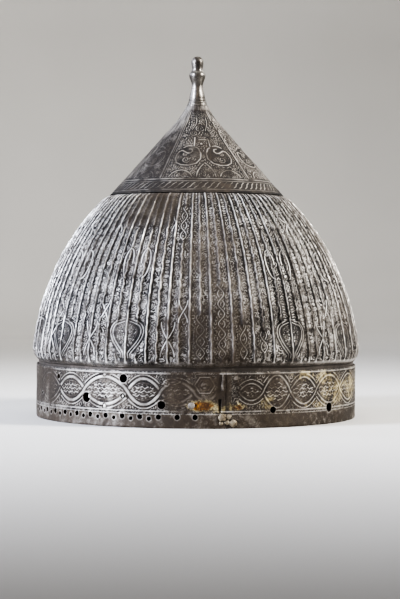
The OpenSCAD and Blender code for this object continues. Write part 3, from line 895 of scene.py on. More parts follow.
for k in range(FLANGE_CELLS):
    z = LIP_FOOT_Z - (LIP_FOOT_Z - FLANGE_Z) * k / (FLANGE_CELLS - 1)
    bowl_rows.append((BACK_R, z, 1, 0, -1, "inner"))
bowl_profile = np.array([row[:2] for row in bowl_rows])
row_normal = np.array([row[2:4] for row in bowl_rows], float)
row_s = np.array([row[4] for row in bowl_rows], float)
row_kind = np.array([row[5] for row in bowl_rows])
print("rows in the bowl's profile:", len(bowl_rows))


# %% Flutes and ridges
def sway(ridge, s):
    """How far a ridge swings aside, in shares of a flute: little on straight ones, more on wavy ones."""
    ridge = ridge % FLUTES
    wavy = np.where(ridge % 2 == 0, 0.016, 0.045)
    pace = 2 * pi / (9 + 3 * np.sin(ridge * 1.7))
    return wavy * (np.sin(s * pace + ridge * 2.4) + 0.5 * np.sin(s * pace * 2.3 + ridge * 4.1))


def bowl_shape(t, row, r, z):
    """Sinks the flutes between the ridges, cuts the drawing into them and sets the finish masks."""
    s, kind = row_s[row], row_kind[row]
    outer = (kind == "outer") | (kind == "ledge")
    count = (t - FLUTE_START) / FLUTE_STEP
    left = np.floor(count)
    left = left - (count < left + sway(left, s))
    left = left + (count > left + 1 + sway(left + 1, s))
    a, b = left + sway(left, s), left + 1 + sway(left + 1, s)
    x = np.clip((count - a) / (b - a), 0, 1)
    pitch = np.radians(FLUTE_STEP) * r * (b - a)
    ridge = np.where(x < 0.5, left, left + 1)
    straight = ridge % 2 == 0
    off = np.minimum(x, 1 - x) * pitch
    # how deep the flutes are and how sharp the ridge stands between them
    spread = 0.38 + 0.5 * (1 - smooth_step(s, 2.2, 4.2))
    line = np.exp(-((off / spread) ** 2)) * smooth_step(s, 1.6, 3.0)
    ticks = 0.8 + 0.2 * np.sin(2 * pi * (s / 2.1 + 0.35 * np.sin(s / 7 + ridge)))
    deep = FLUTE_DEPTH * (0.62 + 0.38 * pitch / WIDE_FLUTE) * smooth_step(s, 2.4, 6.5)
    deep = deep * np.where(kind == "ledge", 1 - np.clip((SHOULDER_R - r) / LEDGE_WIDE, 0, 1), 1)
    trough = (4 * x * (1 - x)) ** np.where(straight, 0.55, 0.7)
    broad_x = (x + (left % 2)) / 2
    calm = bowl.look_up(bowl.calm, t, np.maximum(s, 0))
    trough = trough * (1 - calm) + 0.9 * calm * (4 * broad_x * (1 - broad_x)) ** 0.4
    line = line * np.where(straight, 1, 1 - calm)
    # the drawing stops at a straight ridge and runs over a wavy one
    cut, masks = bowl.masks(t, np.maximum(s, 0), outer)
    cut = cut * (1 - np.exp(-((off / 0.6) ** 2)) * np.where(straight, 1, 0))
    line = line * (1 - np.where(straight, 0, np.clip(np.abs(cut), 0, 1)))
    dents = hammered(t, s, 100, 51, (0.16, 30), (0.05, 7))
    h = -deep * trough + line * np.where(straight, 0.2, 0.08) + 0.16 * cut + dents - 0.47
    h = np.where(outer, h, 0)
    r, z = r + row_normal[row, 0] * h, z + row_normal[row, 1] * h
    hand = 0.35 * np.sin(np.radians(t) * 3 + 1) + 0.3 * np.sin(np.radians(t) * 11)
    z = z + np.where(outer | (kind == "lip"), hand * (1 - smooth_step(s, 0, 6)), 0)
    # where the finish is bright, dark or free for finer scrolls; the dark beside each crest, deep in the
    # flutes and in the calm stretches is painted shade
    worn = 1 - 0.5 * smooth_step(patches(t, s, 18, 53, 100), 0.0, 0.9)
    worn = worn + 0.25 * patches(t, s, 4.5, 54, 100)
    crest = line * worn * np.where(straight, 1.15, 1.1 * ticks) * (1 - 0.75 * masks["aged"])
    crest = crest * (1 - 0.25 * between(t, -26, -14, 60, 75))
    # painted shade: a dark band beside each crest stands in for the crest's shadow
    ditch_and_shade = np.exp(-(((off - 1.15) / 0.55) ** 2)) * np.where(straight, 1.0, 0.7 * (1 - calm))
    # the trough and calm terms darken the flute bottoms as painted shade
    low_place = np.maximum(-cut, ditch_and_shade * smooth_step(s, 2.4, 4)) + 0.3 * trough + 0.2 * calm
    ledge = (1 - smooth_step(s, 2.4, 3.4)) * smooth_step(s, 0.3, 1.2)
    shelf = 0.4 * ledge * between(-t, 5, 25, 100, 120)
    ledge = ledge * (0.1 + 0.35 * between(t, 22, 45, 100, 120))
    masks["raised"] = np.where(outer, np.clip(np.maximum(crest, cut) + ledge, 0, 1), 0)
    masks["sunk"] = np.where(outer, np.clip(low_place + shelf - crest, 0, 1), 0.3)
    masks["field"] = masks["field"] * (1 - np.exp(-((off / 0.9) ** 2)))
    masks["inside"] = np.where(kind == "inner", 1.0, 0.0)
    return r, z, masks


bowl_pieces = []
tucked = [(t, z, r + 0.8) for t, z, r in FITTING_HOLES[:2]]  # two holes go through the flange too
for number, (a, b) in enumerate(FIFTHS):
    piece = rolled(f"fluted_bowl_{number + 1}", bowl_profile, a, b, 300, bowl_shape)
    holes = within(tucked, a, b)
    drilled = drill(piece, holes, BACK_R - 1, TUCK_R + 1) if holes else 0
    bowl_pieces.append(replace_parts(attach(piece, "root"), "fluted_bowl"))
    print(piece.name, len(piece.data.polygons), "faces,", drilled, "holes")

# %% [markdown]
# ## The cone's drawing
#
# The conical top is laid out in five tall panels between raised borders. A panel holds two mirrored
# roundels, each one line that runs round and turns in, with three curls inside it. A pointed arch
# with leaves in it stands between their feet, brackets fill the lower corners, and small rings and
# two wavy lines go on towards the point. A row of lobes runs up beside each border but one. Under
# the panels run three lines and a strip of slanted strokes like a rope.

# %% The cone's slope
FLANK = hypot(CONE_R - FLARE_R, FLARE_Z - LIP_Z)
pull = np.array([FLARE_R, FLARE_Z]) + 0.5 * (SEAT_Z - FLARE_Z) / slant[1] * slant


def flare(u):
    """The curve that carries the flank up to the flat seat."""
    return ((1 - u) ** 2 * np.array([FLARE_R, FLARE_Z]) + 2 * u * (1 - u) * pull
            + u * u * np.array([SEAT_R, SEAT_Z]))


FLARE_LONG = float(sum(np.linalg.norm(flare((k + 1) / 20) - flare(k / 20)) for k in range(20)))


def cone_point(s):
    if s < FLANK:
        return CONE_R + slant[0] * s, LIP_Z + slant[1] * s
    return tuple(flare(min(1, (s - FLANK) / FLARE_LONG)))


cone = Drawing(FLANK + FLARE_LONG, lambda s: cone_point(s)[0], 50)
print("cone slope:", round(FLANK + FLARE_LONG, 1), "mm")

# %% One panel's ornament, repeated five times
# a roundel: a ring that starts at its outer top, runs round and turns in, in mm
KIDNEY = [(-4.9, 7.6), (-3.0, 8.9), (-0.3, 9.7), (3.4, 9.1), (6.6, 6.8), (8.3, 2.4), (7.9, -2.6),
          (5.2, -7.0), (1.0, -8.9), (-3.7, -8.6), (-7.1, -6.4), (-8.6, -2.6), (-8.5, 1.4), (-7.3, 4.2),
          (-5.2, 5.0), (-3.2, 3.8), (-1.2, 2.5), (1.0, 2.6), (2.4, 4.2), (1.9, 6.2), (0.0, 6.4)]
ROUNDEL_T, ROUNDEL_S, ROUNDEL_R, ROUNDEL_TALL = 15.7, 34.0, 6.6, 7.2
PANEL_FOOT = 14.4
draw = cone.strap


def roundel(t, s, side, seed):
    """A dark disc, small scrollwork in its lower half, three curls, and the line round it all."""
    cone.paint(cone.put([(0, -2.5), (0, 2.5)], t, s), ROUNDEL_R, -0.8)

    def low_half(t2, s2):
        x = radians(t2 - t) * cone.radius(s2)
        return hypot(x / ROUNDEL_R, (s2 - s) / ROUNDEL_TALL) < 1 and s2 - s < 0

    scrollwork(cone, low_half, t - 13, t + 13, 25.5, 42, 2.6, 0.3, seed, 0.5)
    for x, y, size in ((-3.6, -3.2, 2.5), (2.2, -3.6, 2.9), (4.6, 1.6, 1.8)):
        mirrored = [(side * u, v) for u, v in curl(size, 1.4, 70 * size)]
        draw(cone.put(mirrored, t + side * degrees(x / 58), s + y), 0.36, 0.4, 0.85)
    draw(cone.put(KIDNEY, t, s, flip=-side), 0.6, 0.55, 0.85 + 0.1 * side)


def panel(centre, seed):
    def in_panel(t, s):
        return abs(t - centre) < 32 and s < 70

    scrollwork(cone, in_panel, centre - 33, centre + 33, 14.5, 40, 2.8, 0.34, seed, 0.95)
    scrollwork(cone, in_panel, centre - 31, centre + 31, 40, 68, 2.5, 0.32, seed + 1, 0.95)
    shares = np.linspace(0, 1, 12)
    for side in (-1, 1):
        roundel(centre + side * ROUNDEL_T, ROUNDEL_S, side, seed + side + 2)
        bracket = [(centre + side * (29 - 18 * u), 14.6 + 6 * sin(pi * u) ** 0.6) for u in shares]
        draw(bracket, 0.5, 0.5, 0.95)
        arch = [(side * 7.4 * (1 - u**2.2), 13.0 * u) for u in shares]
        draw([(centre + x, PANEL_FOOT + y) for x, y in arch], 0.55, 0.5, 0.75)
        draw([(centre + 0.55 * x, PANEL_FOOT + 0.7 * y) for x, y in arch], 0.28, 0.3, 0.7)
        vine = [(centre + side * (13 + 5 * sin(s / 3.6 + 1.5 * side)), s) for s in np.linspace(45, 70, 24)]
        draw(vine, 0.3, 0.4, 0.85)
    for turn in (-50, -25, 0, 25, 50):
        draw(cone.put(leaf(4.2, 1.4), centre, 17.5, turn), 0.26, 0.3, 0.85)
    draw(cone.put([(0, 0), (0, 8)], centre - 10.5, 43.5), 0.55, 0.5, 0.95)
    draw(cone.put([(-2.3, 0), (4.3, 0), (4.3, -6.5)], centre, 49.5), 0.5, 0.5, 0.95)
    draw(cone.put(lozenge(1.2, 1.2), centre - 1.5, 45.5), 0.5, 0.5, 0.95)
    for turn, s, size in ((-1.5, 60.5, 2.7), (-13, 56, 2.3), (9, 55, 1.8)):
        draw(cone.put(arc(0, 0, size, 0, 360, 16), centre + turn, s), 0.4, 0.5, 0.7)
        draw(cone.put(curl(0.8 * size, 1.2), centre + turn, s), 0.28, 0.5, 0.7)


PANELS, FIRST_PANEL = 5, -2.8
print("points in a roundel's line:", len(KIDNEY))

# %% Panels and the borders between them
def off_border(border, away, s):
    """The angle of a line that keeps away mm from a border, and less towards the point."""
    return border + degrees(away * (1 - s / 110) / cone.radius(s))


cone.relief[:] = GROUND
for k in range(PANELS):
    centre = FIRST_PANEL + 360 / PANELS * k
    border = centre + 180 / PANELS
    panel(centre, 60 + 7 * k)
    for away, half in ((-2.0, 0.34), (0.0, 0.95), (2.0, 0.34)):
        line = [(off_border(border, away, s), s) for s in np.linspace(12.5, 76, 30)]
        # borders on the right half are drawn brighter: painted light
        draw(line, half, 0.5, 1.0 if 0 < border < 180 else 0.8)
    if k < PANELS - 1:  # the border that shows left of the front has no lobes beside it
        for number, s in enumerate(np.arange(16.5, 68, 3.9)):
            lobe = cone.put(TENDRIL, off_border(border, 5.6, s), s, 25, 1.0, (-1) ** number)
            draw(lobe, 0.6, 0.6, 1.0)
print("panels:", PANELS)

# %% Lines, rope strip, wear and painted light
tt, ss = cone.tt, cone.ss
strip = 1 - smooth_step(ss, 12.2, 12.6)
cone.relief = cone.relief * (1 - strip) - 0.25 * strip
for s, half in ((12.4, 0.5), (10.5, 0.36), (2.6, 0.36)):
    cone.border(s, half, 0.85)
ROPE, ROPE_FOOT, ROPE_TALL = 80, 4.0, 5.2
for k in range(ROPE):
    t = -180 + 360 * k / ROPE
    stroke = [(t + degrees((ROPE_TALL * (u - 0.5) + 0.5 * sin(2 * pi * u)) / 56), ROPE_FOOT + ROPE_TALL * u)
              for u in np.linspace(0, 1, 7)]
    # rope strokes on the right side are drawn brighter: painted light
    draw(stroke, 0.5, 0.45, 1.0 if 20 < t < 120 else 0.7, -0.9)
above_strip = smooth_step(ss, 12, 16)
left_worn = between(-tt, 26, 44, 115, 130) * above_strip
cone.relief *= 1 - 0.85 * left_worn
cone.relief *= 1 - 0.5 * smooth_step(cone.patchy(16, 71), 0.1, 0.9)
cone.relief *= 1 - smooth_step(ss, 74, 79)
# painted light: brighter on the right flank, at the far left edge, over the worn left flank and towards the
# point
bright = 0.4 * between(tt, 28, 40, 100, 120) + 0.2 * between(-tt, 52, 78, 115, 130)
bright = bright * above_strip + 0.24 * left_worn + 0.42 * smooth_step(ss, 46, 74) - 0.15
cone.relief += bright * (0.8 + 0.4 * cone.patchy(9, 72))
cone.field *= 0.75 * (1 - 0.65 * left_worn) * between(ss, 12.8, 14, 72, 78)
front = np.exp(-(((tt + 4) / 24) ** 2)) * (1 - smooth_step(ss, 40, 60))
stained = 0.3 * smooth_step(cone.patchy(30, 73), 0.1, 0.9) * (1 - left_worn)
cone.aged = np.clip(0.4 * front + stained, 0, 1)
cone.soften()
print("share of the cone that is raised:", cone.share(0.5))

# %% [markdown]
# ## The conical top
#
# The cone is rolled in two halves from the same kind of sheet. Its lip lies over the bowl's crown,
# and its inside follows the outside down from a solid tip.

# %% Cone sheets
HOLE_R, TIP_Z, TIP_R = 2.54, SEAT_Z - 13, 4.6  # the tang's hole, and the top of the hollow inside
FLANK_CELLS, FLARE_CELLS, INSIDE_CELLS = 116, 32, 36
cone_s = [FLANK * k / FLANK_CELLS for k in range(FLANK_CELLS)]
cone_s += [FLANK + FLARE_LONG * k / FLARE_CELLS for k in range(FLARE_CELLS + 1)]
cone_rows = [cone_point(s) for s in cone_s]
OUTER_ROWS = len(cone_rows)
cone_rows += [(5.2, SEAT_Z), (HOLE_R, SEAT_Z), (HOLE_R, SEAT_Z - 6), (HOLE_R, TIP_Z), (4.5, TIP_Z)]
level = CONE_T / slant[1]
for k in range(INSIDE_CELLS + 1):
    z = TIP_Z + (LIP_Z - TIP_Z) * k / INSIDE_CELLS
    cone_rows.append((max(TIP_R, CONE_R - level + (z - LIP_Z) * slant[0] / slant[1]), z))
cone_profile = np.array(cone_rows)
cone_up = np.array(cone_s + [0.0] * (len(cone_rows) - OUTER_ROWS))
cone_out = np.gradient(cone_profile[:OUTER_ROWS], axis=0)
cone_out = np.stack([cone_out[:, 1], -cone_out[:, 0]], 1) / np.linalg.norm(cone_out, axis=1)[:, None]
cone_out = np.vstack([cone_out, np.zeros((len(cone_rows) - OUTER_ROWS, 2))])


def cone_shape(t, row, r, z):
    s, outer = cone_up[row], row < OUTER_ROWS
    cut, masks = cone.masks(t, s, outer)
    dents = hammered(t, s, 50, 81, (0.12, 24), (0.04, 6))
    top = FLANK + FLARE_LONG
    calm = between(s, 0, 1, top - 4, top - 1)
    h = np.where(outer, (0.15 * cut + dents - 0.12) * calm, 0)
    masks["sunk"] = np.where(outer, masks["sunk"] + 0.4 * (s < 1.5), 0.3)
    masks["inside"] = np.where(outer, 0.0, 1.0)
    return r + cone_out[row, 0] * h, z + cone_out[row, 1] * h, masks


cone_pieces = []
for number, a in enumerate((-92.8, 87.2)):
    piece = rolled(f"cone_cap_{number + 1}", cone_profile, a, a + 180, 340, cone_shape)
    cone_pieces.append(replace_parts(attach(piece, "root"), "cone_cap"))
    print(piece.name, len(piece.data.polygons), "faces")


# %% [markdown]
# ## Turned and riveted pieces
#
# The knob on top was turned on a lathe, so a spin of its outline is just how it was made. Its tang
# goes down through the collar and the cone's tip, and is hammered over a washer inside. The rivets
# are spun the same way, once, and copied round the helmet.


# %% Spinning an outline
def made_piece(name, bm, sharp=50):
    """A piece from a finished bmesh."""
    mesh = bpy.data.meshes.new(name)
    finish_shell(bm, mesh, sharp)
    return stand(name, mesh)


def turned(name, outline, steps_round=96):
    """Spins an outline of (r, z) points right round the axis. Its two ends lie on the axis or meet."""
    bm = bmesh.new()
    corners = [bm.verts.new((r * MM, 0, z * MM)) for r, z in outline]
    edges = [bm.edges.new(pair) for pair in zip(corners[:-1], corners[1:])]
    bmesh.ops.spin(bm, geom=corners + edges, cent=(0, 0, 0), axis=(0, 0, 1), dvec=(0, 0, 0),
                   angle=2 * pi, steps=steps_round, use_merge=True, use_duplicate=False)
    bmesh.ops.remove_doubles(bm, verts=bm.verts, dist=2e-6)
    return made_piece(name, bm)


def eased(stages, cells=10):
    """An outline through (r, z) stages with an even swell between each two."""
    made = []
    for (r0, z0), (r1, z1) in zip(stages[:-1], stages[1:]):
        made += [(r0 + (r1 - r0) * (1 - cos(pi * k / cells)) / 2, z0 + (z1 - z0) * k / cells)
                 for k in range(cells)]
    return made + [stages[-1]]


COLLAR_Z, DOME_R, DOME_Z, DOME_TALL = SEAT_Z + 5.2, 4.2, 243.45, 4.0
TANG_R, TANG_FOOT = 2.5, 197.25
knobs = eased([(5.3, COLLAR_Z + 0.1), (3.8, 227.2), (5.6, 234.55), (3.69, 238.3), (DOME_R, DOME_Z)])
dome = [(DOME_R * cos(a), DOME_Z + DOME_TALL * sin(a)) for a in np.radians(np.arange(9, 90, 9))]
tang = [(0, TANG_FOOT), (1.6, TANG_FOOT), (3.4, 198.1), (3.45, 198.7), (TANG_R, 198.72),
        (TANG_R, COLLAR_Z + 0.1)]
finial = turned("finial", tang + knobs + dome + [(0, DOME_Z + DOME_TALL)])
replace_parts(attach(finial, "root"), "finial")

# radius and height over the seat
collar_stages = [(7.3, 0), (7.32, 0.35), (6.85, 1.0), (6.75, 1.5), (6.3, 1.9), (6.42, 2.3), (6.1, 3.1),
                 (5.72, 3.4), (5.86, 4.0), (5.7, 4.7), (5.5, 5.2)]
collar_side = eased([(r, SEAT_Z + z) for r, z in collar_stages], 5)
collar = turned("apex_collar", [(HOLE_R, SEAT_Z)] + collar_side + [(HOLE_R, COLLAR_Z), (HOLE_R, SEAT_Z)])
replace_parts(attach(collar, "root"), "apex_collar")
print("finial faces:", len(finial.data.polygons), "collar faces:", len(collar.data.polygons))


# %% Rivets
SHANK_R = 1.5


def rivets(name, places, outer_end):
    """Copies one spun rivet to each place: (angle, radius of the plate's inside, height, tilt)."""
    outline = [(0, -1.25), (1.3, -1.2), (2.3, -0.85), (2.8, -0.3), (2.75, -0.08), (SHANK_R, -0.05),
               (SHANK_R, outer_end), (0, outer_end)]
    one = turned(name, outline, 20)
    source = one.data
    joined = bmesh.new()
    for number, (t, r, z, tilt) in enumerate(places):
        uneven = (1 + 0.05 * sin(number * 2.3), 1 - 0.05 * sin(number * 1.9), 1, 1)
        upright = Matrix.Rotation(radians(t), 4, "Z") @ Matrix.Rotation(radians(90 - tilt), 4, "X")
        copy = source.copy()
        copy.transform(Matrix.Diagonal(uneven))
        copy.transform(Matrix.Translation(place(t, r, z)) @ upright)
        joined.from_mesh(copy)
        bpy.data.meshes.remove(copy)
    joined.to_mesh(source)
    joined.free()
    source.set_sharp_from_angle(angle=radians(50))
    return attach(one, "root")


crown_in = (crown_foot + crown_top) / 2 + BOWL_T * inward
slope_tilt = degrees(atan2(-inward[1], -inward[0]))
STRAP_IN_R = BAND_IN_R - 1.55
band_places = [(15 + 30 * k, BACK_R, 30.5, 0) for k in range(12)]
cone_places = [(22.5 + 45 * k, *crown_in, slope_tilt) for k in range(8)]
strap_places = [(t, STRAP_IN_R, z, 0) for t in (-1.7, 1.7) for z in (5.5, 20.0)]
band_riveting = rivets("band_rivets", band_places, 2.6)
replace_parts(band_riveting, "band_rivets")
cone_riveting = rivets("cone_rivets", cone_places, 2.3)
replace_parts(cone_riveting, "cone_rivets")
strap_riveting = rivets("strap_rivets", strap_places, 2.6)
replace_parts(strap_riveting, "strap_rivets")
print("rivets:", len(band_places) + len(cone_places) + len(strap_places))

# %% [markdown]
# ## Remnants at the seam
#
# Left of the seam a bright sliver is all that is left of a bracket, and under it lie a few blobs of
# brazing metal. The sliver starts as a cube, cut, bevelled and pushed about. The blobs start as
# small spheres whose vertices are moved by soft waves, because molten metal sets in no exact form.


# %% The sliver
SLIVER_Z, SLIVER_LONG = 29.25, 10.4
bm = bmesh.new()
bmesh.ops.create_cube(bm, size=1)
long_edges = [e for e in bm.edges if abs(e.verts[0].co.z - e.verts[1].co.z) > 0.5]
bmesh.ops.subdivide_edges(bm, edges=long_edges, cuts=9)
for v in bm.verts:
    x, y, along = v.co
    middle = -1.1 + 0.25 * along + 0.12 * sin(9 * along)
    wide = 1.3 - 0.35 * abs(along)
    proud = 0.55 - 0.25 * abs(along) + 0.08 * sin(14 * along)
    r = BAND_R + 0.3 + (y < 0) * proud - (y > 0) * 0.6
    v.co = place(middle + degrees(x * wide / BAND_R), r, SLIVER_Z + SLIVER_LONG * along)
bmesh.ops.bevel(bm, geom=[e for e in bm.edges if e.calc_face_angle(0) > 0.7], offset=0.18 * MM,
                segments=3, profile=0.5, affect="EDGES", material=-1)
stub = made_piece("bracket_stub", bm)
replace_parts(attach(stub, "root"), "bracket_stub")
print("sliver faces:", len(stub.data.polygons))

# %% The blobs
# angle, height, half width, half height, thickness and a number that makes each blob's form its own
BLOBS = [(-1.1, 7.2, 2.7, 2.5, 1.5, 1.0), (2.5, 3.4, 2.6, 2.4, 1.45, 2.2), (0.9, 7.6, 1.9, 1.8, 1.3, 3.1),
         (0.4, 4.0, 1.7, 1.5, 0.9, 4.4), (-1.6, 3.4, 1.4, 1.2, 0.7, 5.3)]
bm = bmesh.new()
for t, z, wide, tall, thick, seed in BLOBS:
    for v in bmesh.ops.create_icosphere(bm, subdivisions=4, radius=1)["verts"]:
        x, y, d = v.co.x, v.co.z, -v.co.y
        rough = 1 + 0.10 * sin(5 * x + seed) * sin(4 * y + 2 * seed)
        rough += 0.06 * sin(11 * x + 7 * y + seed) + 0.04 * sin(17 * y - 9 * d)
        v.co = place(t + degrees(x * wide * rough / BAND_R), BAND_R - 0.35 + max(d, -0.4) * thick * rough,
                     max(0.05, z + y * tall * rough))
blobs = made_piece("rim_braze", bm, 180)
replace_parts(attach(blobs, "root"), "rim_braze")
print("blob faces:", len(blobs.data.polygons))

# %% [markdown]
# ## The finish of old steel
#
# Several materials share the same look: dark patina in the low places, a grey middle, and bright
# worn metal on what stands proud. On the bowl the low places also take painted shade beside the
# crests and deep in the flutes, and on the cone the bright also takes painted light. Where the steel
# has aged it is brown, and the same brown darkens the bowl's painted shade. Gold leaf lies over it in
# two tones, deep and pale. In the free fields a warped wave adds scrolls too fine for the mesh.
# A node group holds all this once. It takes the masks that the meshes carry and gives back a
# colour, a roughness, how metallic the place is, and a fine height for the bump. The Principled
# shader stays outside, in each material.


# %% Helpers for nodes
def linear(code):
    """A colour code such as #8a6f4d as linear values."""
    made = []
    for k in (1, 3, 5):
        c = int(code[k:k + 2], 16) / 255
        made.append(c / 12.92 if c <= 0.04045 else ((c + 0.055) / 1.055) ** 2.4)
    return (*made, 1.0)


def node(tree, kind, **settings):
    made = tree.nodes.new("ShaderNode" + kind)
    for name, value in settings.items():
        setattr(made, name, value)
    return made


def feed(tree, target, source):
    """Sets a socket, or links it when source is another socket."""
    if isinstance(source, bpy.types.NodeSocket):
        tree.links.new(source, target)
    else:
        target.default_value = source


def maths(tree, what, a, b=0.0, clamp=False):
    made = node(tree, "Math", operation=what, use_clamp=clamp)
    for socket, value in zip(made.inputs, (a, b)):
        feed(tree, socket, value)
    return made.outputs[0]


def mixed(tree, amount, a, b):
    """A blend of two colours. The node has sockets of one name for each kind of data, so the ones
    for colours are told by their number."""
    made = node(tree, "Mix", data_type="RGBA")
    feed(tree, made.inputs["Factor"], amount)
    feed(tree, made.inputs[6], a)
    feed(tree, made.inputs[7], b)
    return made.outputs[2]


def noise(tree, where, scale, detail=4.0, rough=0.6, warp=0.0):
    made = node(tree, "TexNoise")
    tree.links.new(where, made.inputs["Vector"])
    made.inputs["Scale"].default_value = scale
    made.inputs["Detail"].default_value = detail
    made.inputs["Roughness"].default_value = rough
    made.inputs["Distortion"].default_value = warp
    return made.outputs["Fac"]


def ranged(tree, value, low, high, to_low=0.0, to_high=1.0):
    made = node(tree, "MapRange", interpolation_type="SMOOTHSTEP")
    feed(tree, made.inputs["Value"], value)
    for name, number in (("From Min", low), ("From Max", high), ("To Min", to_low), ("To Max", to_high)):
        made.inputs[name].default_value = number
    return made.outputs[0]


# %% The group's sockets
old_steel = bpy.data.node_groups.new("OldSteel", "ShaderNodeTree")
MASKS = ("raised", "sunk", "gilt", "inside", "field", "aged")
SOCKETS = [(mask.capitalize(), "Float", 0.0) for mask in MASKS]
SOCKETS += [("Polish", "Float", 0.0), ("Dark", "Color", linear("#0c0906")),
            ("Middle", "Color", linear("#4a4038")), ("Bright", "Color", linear("#d9d5cc")),
            ("Grain", "Float", 1.0), ("Tarnish", "Float", 0.5)]
for name, kind, value in SOCKETS:
    socket = old_steel.interface.new_socket(name=name, in_out="INPUT", socket_type="NodeSocket" + kind)
    socket.default_value = value
for name, kind in (("Colour", "Color"), ("Roughness", "Float"), ("Metal", "Float"), ("Height", "Float")):
    old_steel.interface.new_socket(name=name, in_out="OUTPUT", socket_type="NodeSocket" + kind)
given = old_steel.nodes.new("NodeGroupInput").outputs
result = old_steel.nodes.new("NodeGroupOutput").inputs
plus, minus, times, larger = (partial(maths, old_steel, what)
                              for what in ("ADD", "SUBTRACT", "MULTIPLY", "MAXIMUM"))
span, blend = partial(ranged, old_steel), partial(mixed, old_steel)
print("sockets:", len(SOCKETS), "in, 4 out")

# %% Patches, pits and fine scrolls
where = node(old_steel, "TexCoord").outputs["Object"]
broad = noise(old_steel, where, 38, 3, 0.55, 0.6)
blotch = noise(old_steel, where, 170, 5, 0.65, 0.4)
fine = noise(old_steel, where, 900, 3, 0.6)
pits = node(old_steel, "TexVoronoi", feature="F1")
old_steel.links.new(where, pits.inputs["Vector"])
pits.inputs["Scale"].default_value = 420
pitted = times(span(pits.outputs["Distance"], 0.05, 0.32, 1.0, 0.0), span(blotch, 0.5, 0.72))
SCROLL_LINES = 4.6  # lines of scroll between the lowest and the highest value of the noise
squiggle = noise(old_steel, where, 330, 0.6, 0.4, 0.9)
waves = maths(old_steel, "SINE", times(squiggle, 2 * pi * SCROLL_LINES))
open_field = times(given["Field"], span(given["Raised"], 0.1, 0.6, 1.0, 0.0))
open_field = times(open_field, span(given["Sunk"], 0.6, 0.95, 1.0, 0.0))
scroll = times(span(waves, 0.0, 0.7), open_field)
ditch_and_shade = times(span(waves, -0.1, -0.8), open_field)
tone = plus(span(broad, 0.3, 0.7, -0.22, 0.2), span(blotch, 0.3, 0.7, -0.2, 0.18))
tone = times(plus(tone, span(fine, 0.3, 0.7, -0.1, 0.1)), given["Grain"])
low_place = larger(plus(given["Sunk"], times(tone, -0.7), clamp=True), times(pitted, 0.7))
low_place = plus(low_place, times(ditch_and_shade, 0.8), clamp=True)
high_place = plus(plus(given["Raised"], times(tone, 0.45)), times(scroll, 0.5))
high_place = minus(high_place, times(given["Tarnish"], 0.12), clamp=True)
print("nodes so far:", len(old_steel.nodes))

# %% Steel, brown, gold and rust
colour = blend(low_place, given["Middle"], given["Dark"])
colour = blend(times(plus(tone, 0.0, clamp=True), 0.6), colour, linear("#8d857a"))
colour = blend(high_place, colour, given["Bright"])
brown = times(span(noise(old_steel, where, 95, 4, 0.6, 1.0), 0.52, 0.68), given["Tarnish"])
brown = plus(brown, given["Aged"], clamp=True)
brown_share = times(brown, span(given["Raised"], 0.2, 0.9, 0.5, 0.25))
colour = blend(brown_share, colour, blend(blotch, linear("#2a1a10"), linear("#4e4028")))
deep_gold = blend(span(blotch, 0.4, 0.62), linear("#553410"), linear("#b37c2a"))
pale_gold = blend(span(blotch, 0.35, 0.65), linear("#72603a"), linear("#d3c493"))
gold_tone = blend(span(given["Gilt"], 0.85, 1.2), pale_gold, deep_gold)
gold_tone = blend(times(low_place, 0.85), gold_tone, linear("#2c1a08"))
gold = span(plus(given["Gilt"], times(tone, 0.9)), 0.25, 0.7)
gold = times(gold, span(given["Gilt"], 0.03, 0.15))
colour = blend(times(gold, span(given["Gilt"], 0.5, 1.1, 0.45, 0.8)), colour, gold_tone)
rust_tone = blend(span(blotch, 0.25, 0.75), linear("#251c16"), linear("#44372c"))
colour = blend(given["Inside"], colour, rust_tone)
old_steel.links.new(colour, result["Colour"])
print("nodes so far:", len(old_steel.nodes))

# %% Gloss, metal and fine height
rough = minus(plus(0.56, times(low_place, 0.2)), times(high_place, 0.18))
rough = minus(plus(rough, span(fine, 0.3, 0.7, -0.06, 0.06)), times(given["Polish"], 0.2))
rough = plus(rough, times(given["Inside"], 0.2), clamp=True)
old_steel.links.new(rough, result["Roughness"])
metal = plus(minus(0.62, times(low_place, 0.35)), times(given["Polish"], 0.35))
metal = minus(minus(metal, times(given["Inside"], 0.45)), times(brown, 0.3), clamp=True)
old_steel.links.new(metal, result["Metal"])
height = minus(plus(times(fine, 0.35), times(blotch, 0.8)), times(pitted, 0.5))
height = plus(height, minus(times(scroll, 0.6), times(ditch_and_shade, 0.6)))
old_steel.links.new(height, result["Height"])
print("nodes in the group:", len(old_steel.nodes))


# %% Materials of old steel
def steel(name, masked=True, bump=0.5, **values):
    """A material that shows the old steel group with its own values, colours given as codes."""
    material = bpy.data.materials.new(name)
    material.use_nodes = True
    tree = material.node_tree
    shader = tree.nodes["Principled BSDF"]
    look = node(tree, "Group")
    look.node_tree = old_steel
    for key, value in values.items():
        value = linear(value) if isinstance(value, str) else value
        look.inputs[key.capitalize()].default_value = value
    for mask in MASKS if masked else ():
        read = node(tree, "Attribute", attribute_name=mask, attribute_type="GEOMETRY")
        tree.links.new(read.outputs["Fac"], look.inputs[mask.capitalize()])
    for output, socket in (("Colour", "Base Color"), ("Roughness", "Roughness"), ("Metal", "Metallic")):
        tree.links.new(look.outputs[output], shader.inputs[socket])
    relief = node(tree, "Bump")
    relief.inputs["Strength"].default_value = bump
    relief.inputs["Distance"].default_value = 0.0003
    tree.links.new(look.outputs["Height"], relief.inputs["Height"])
    tree.links.new(relief.outputs["Normal"], shader.inputs["Normal"])
    return material


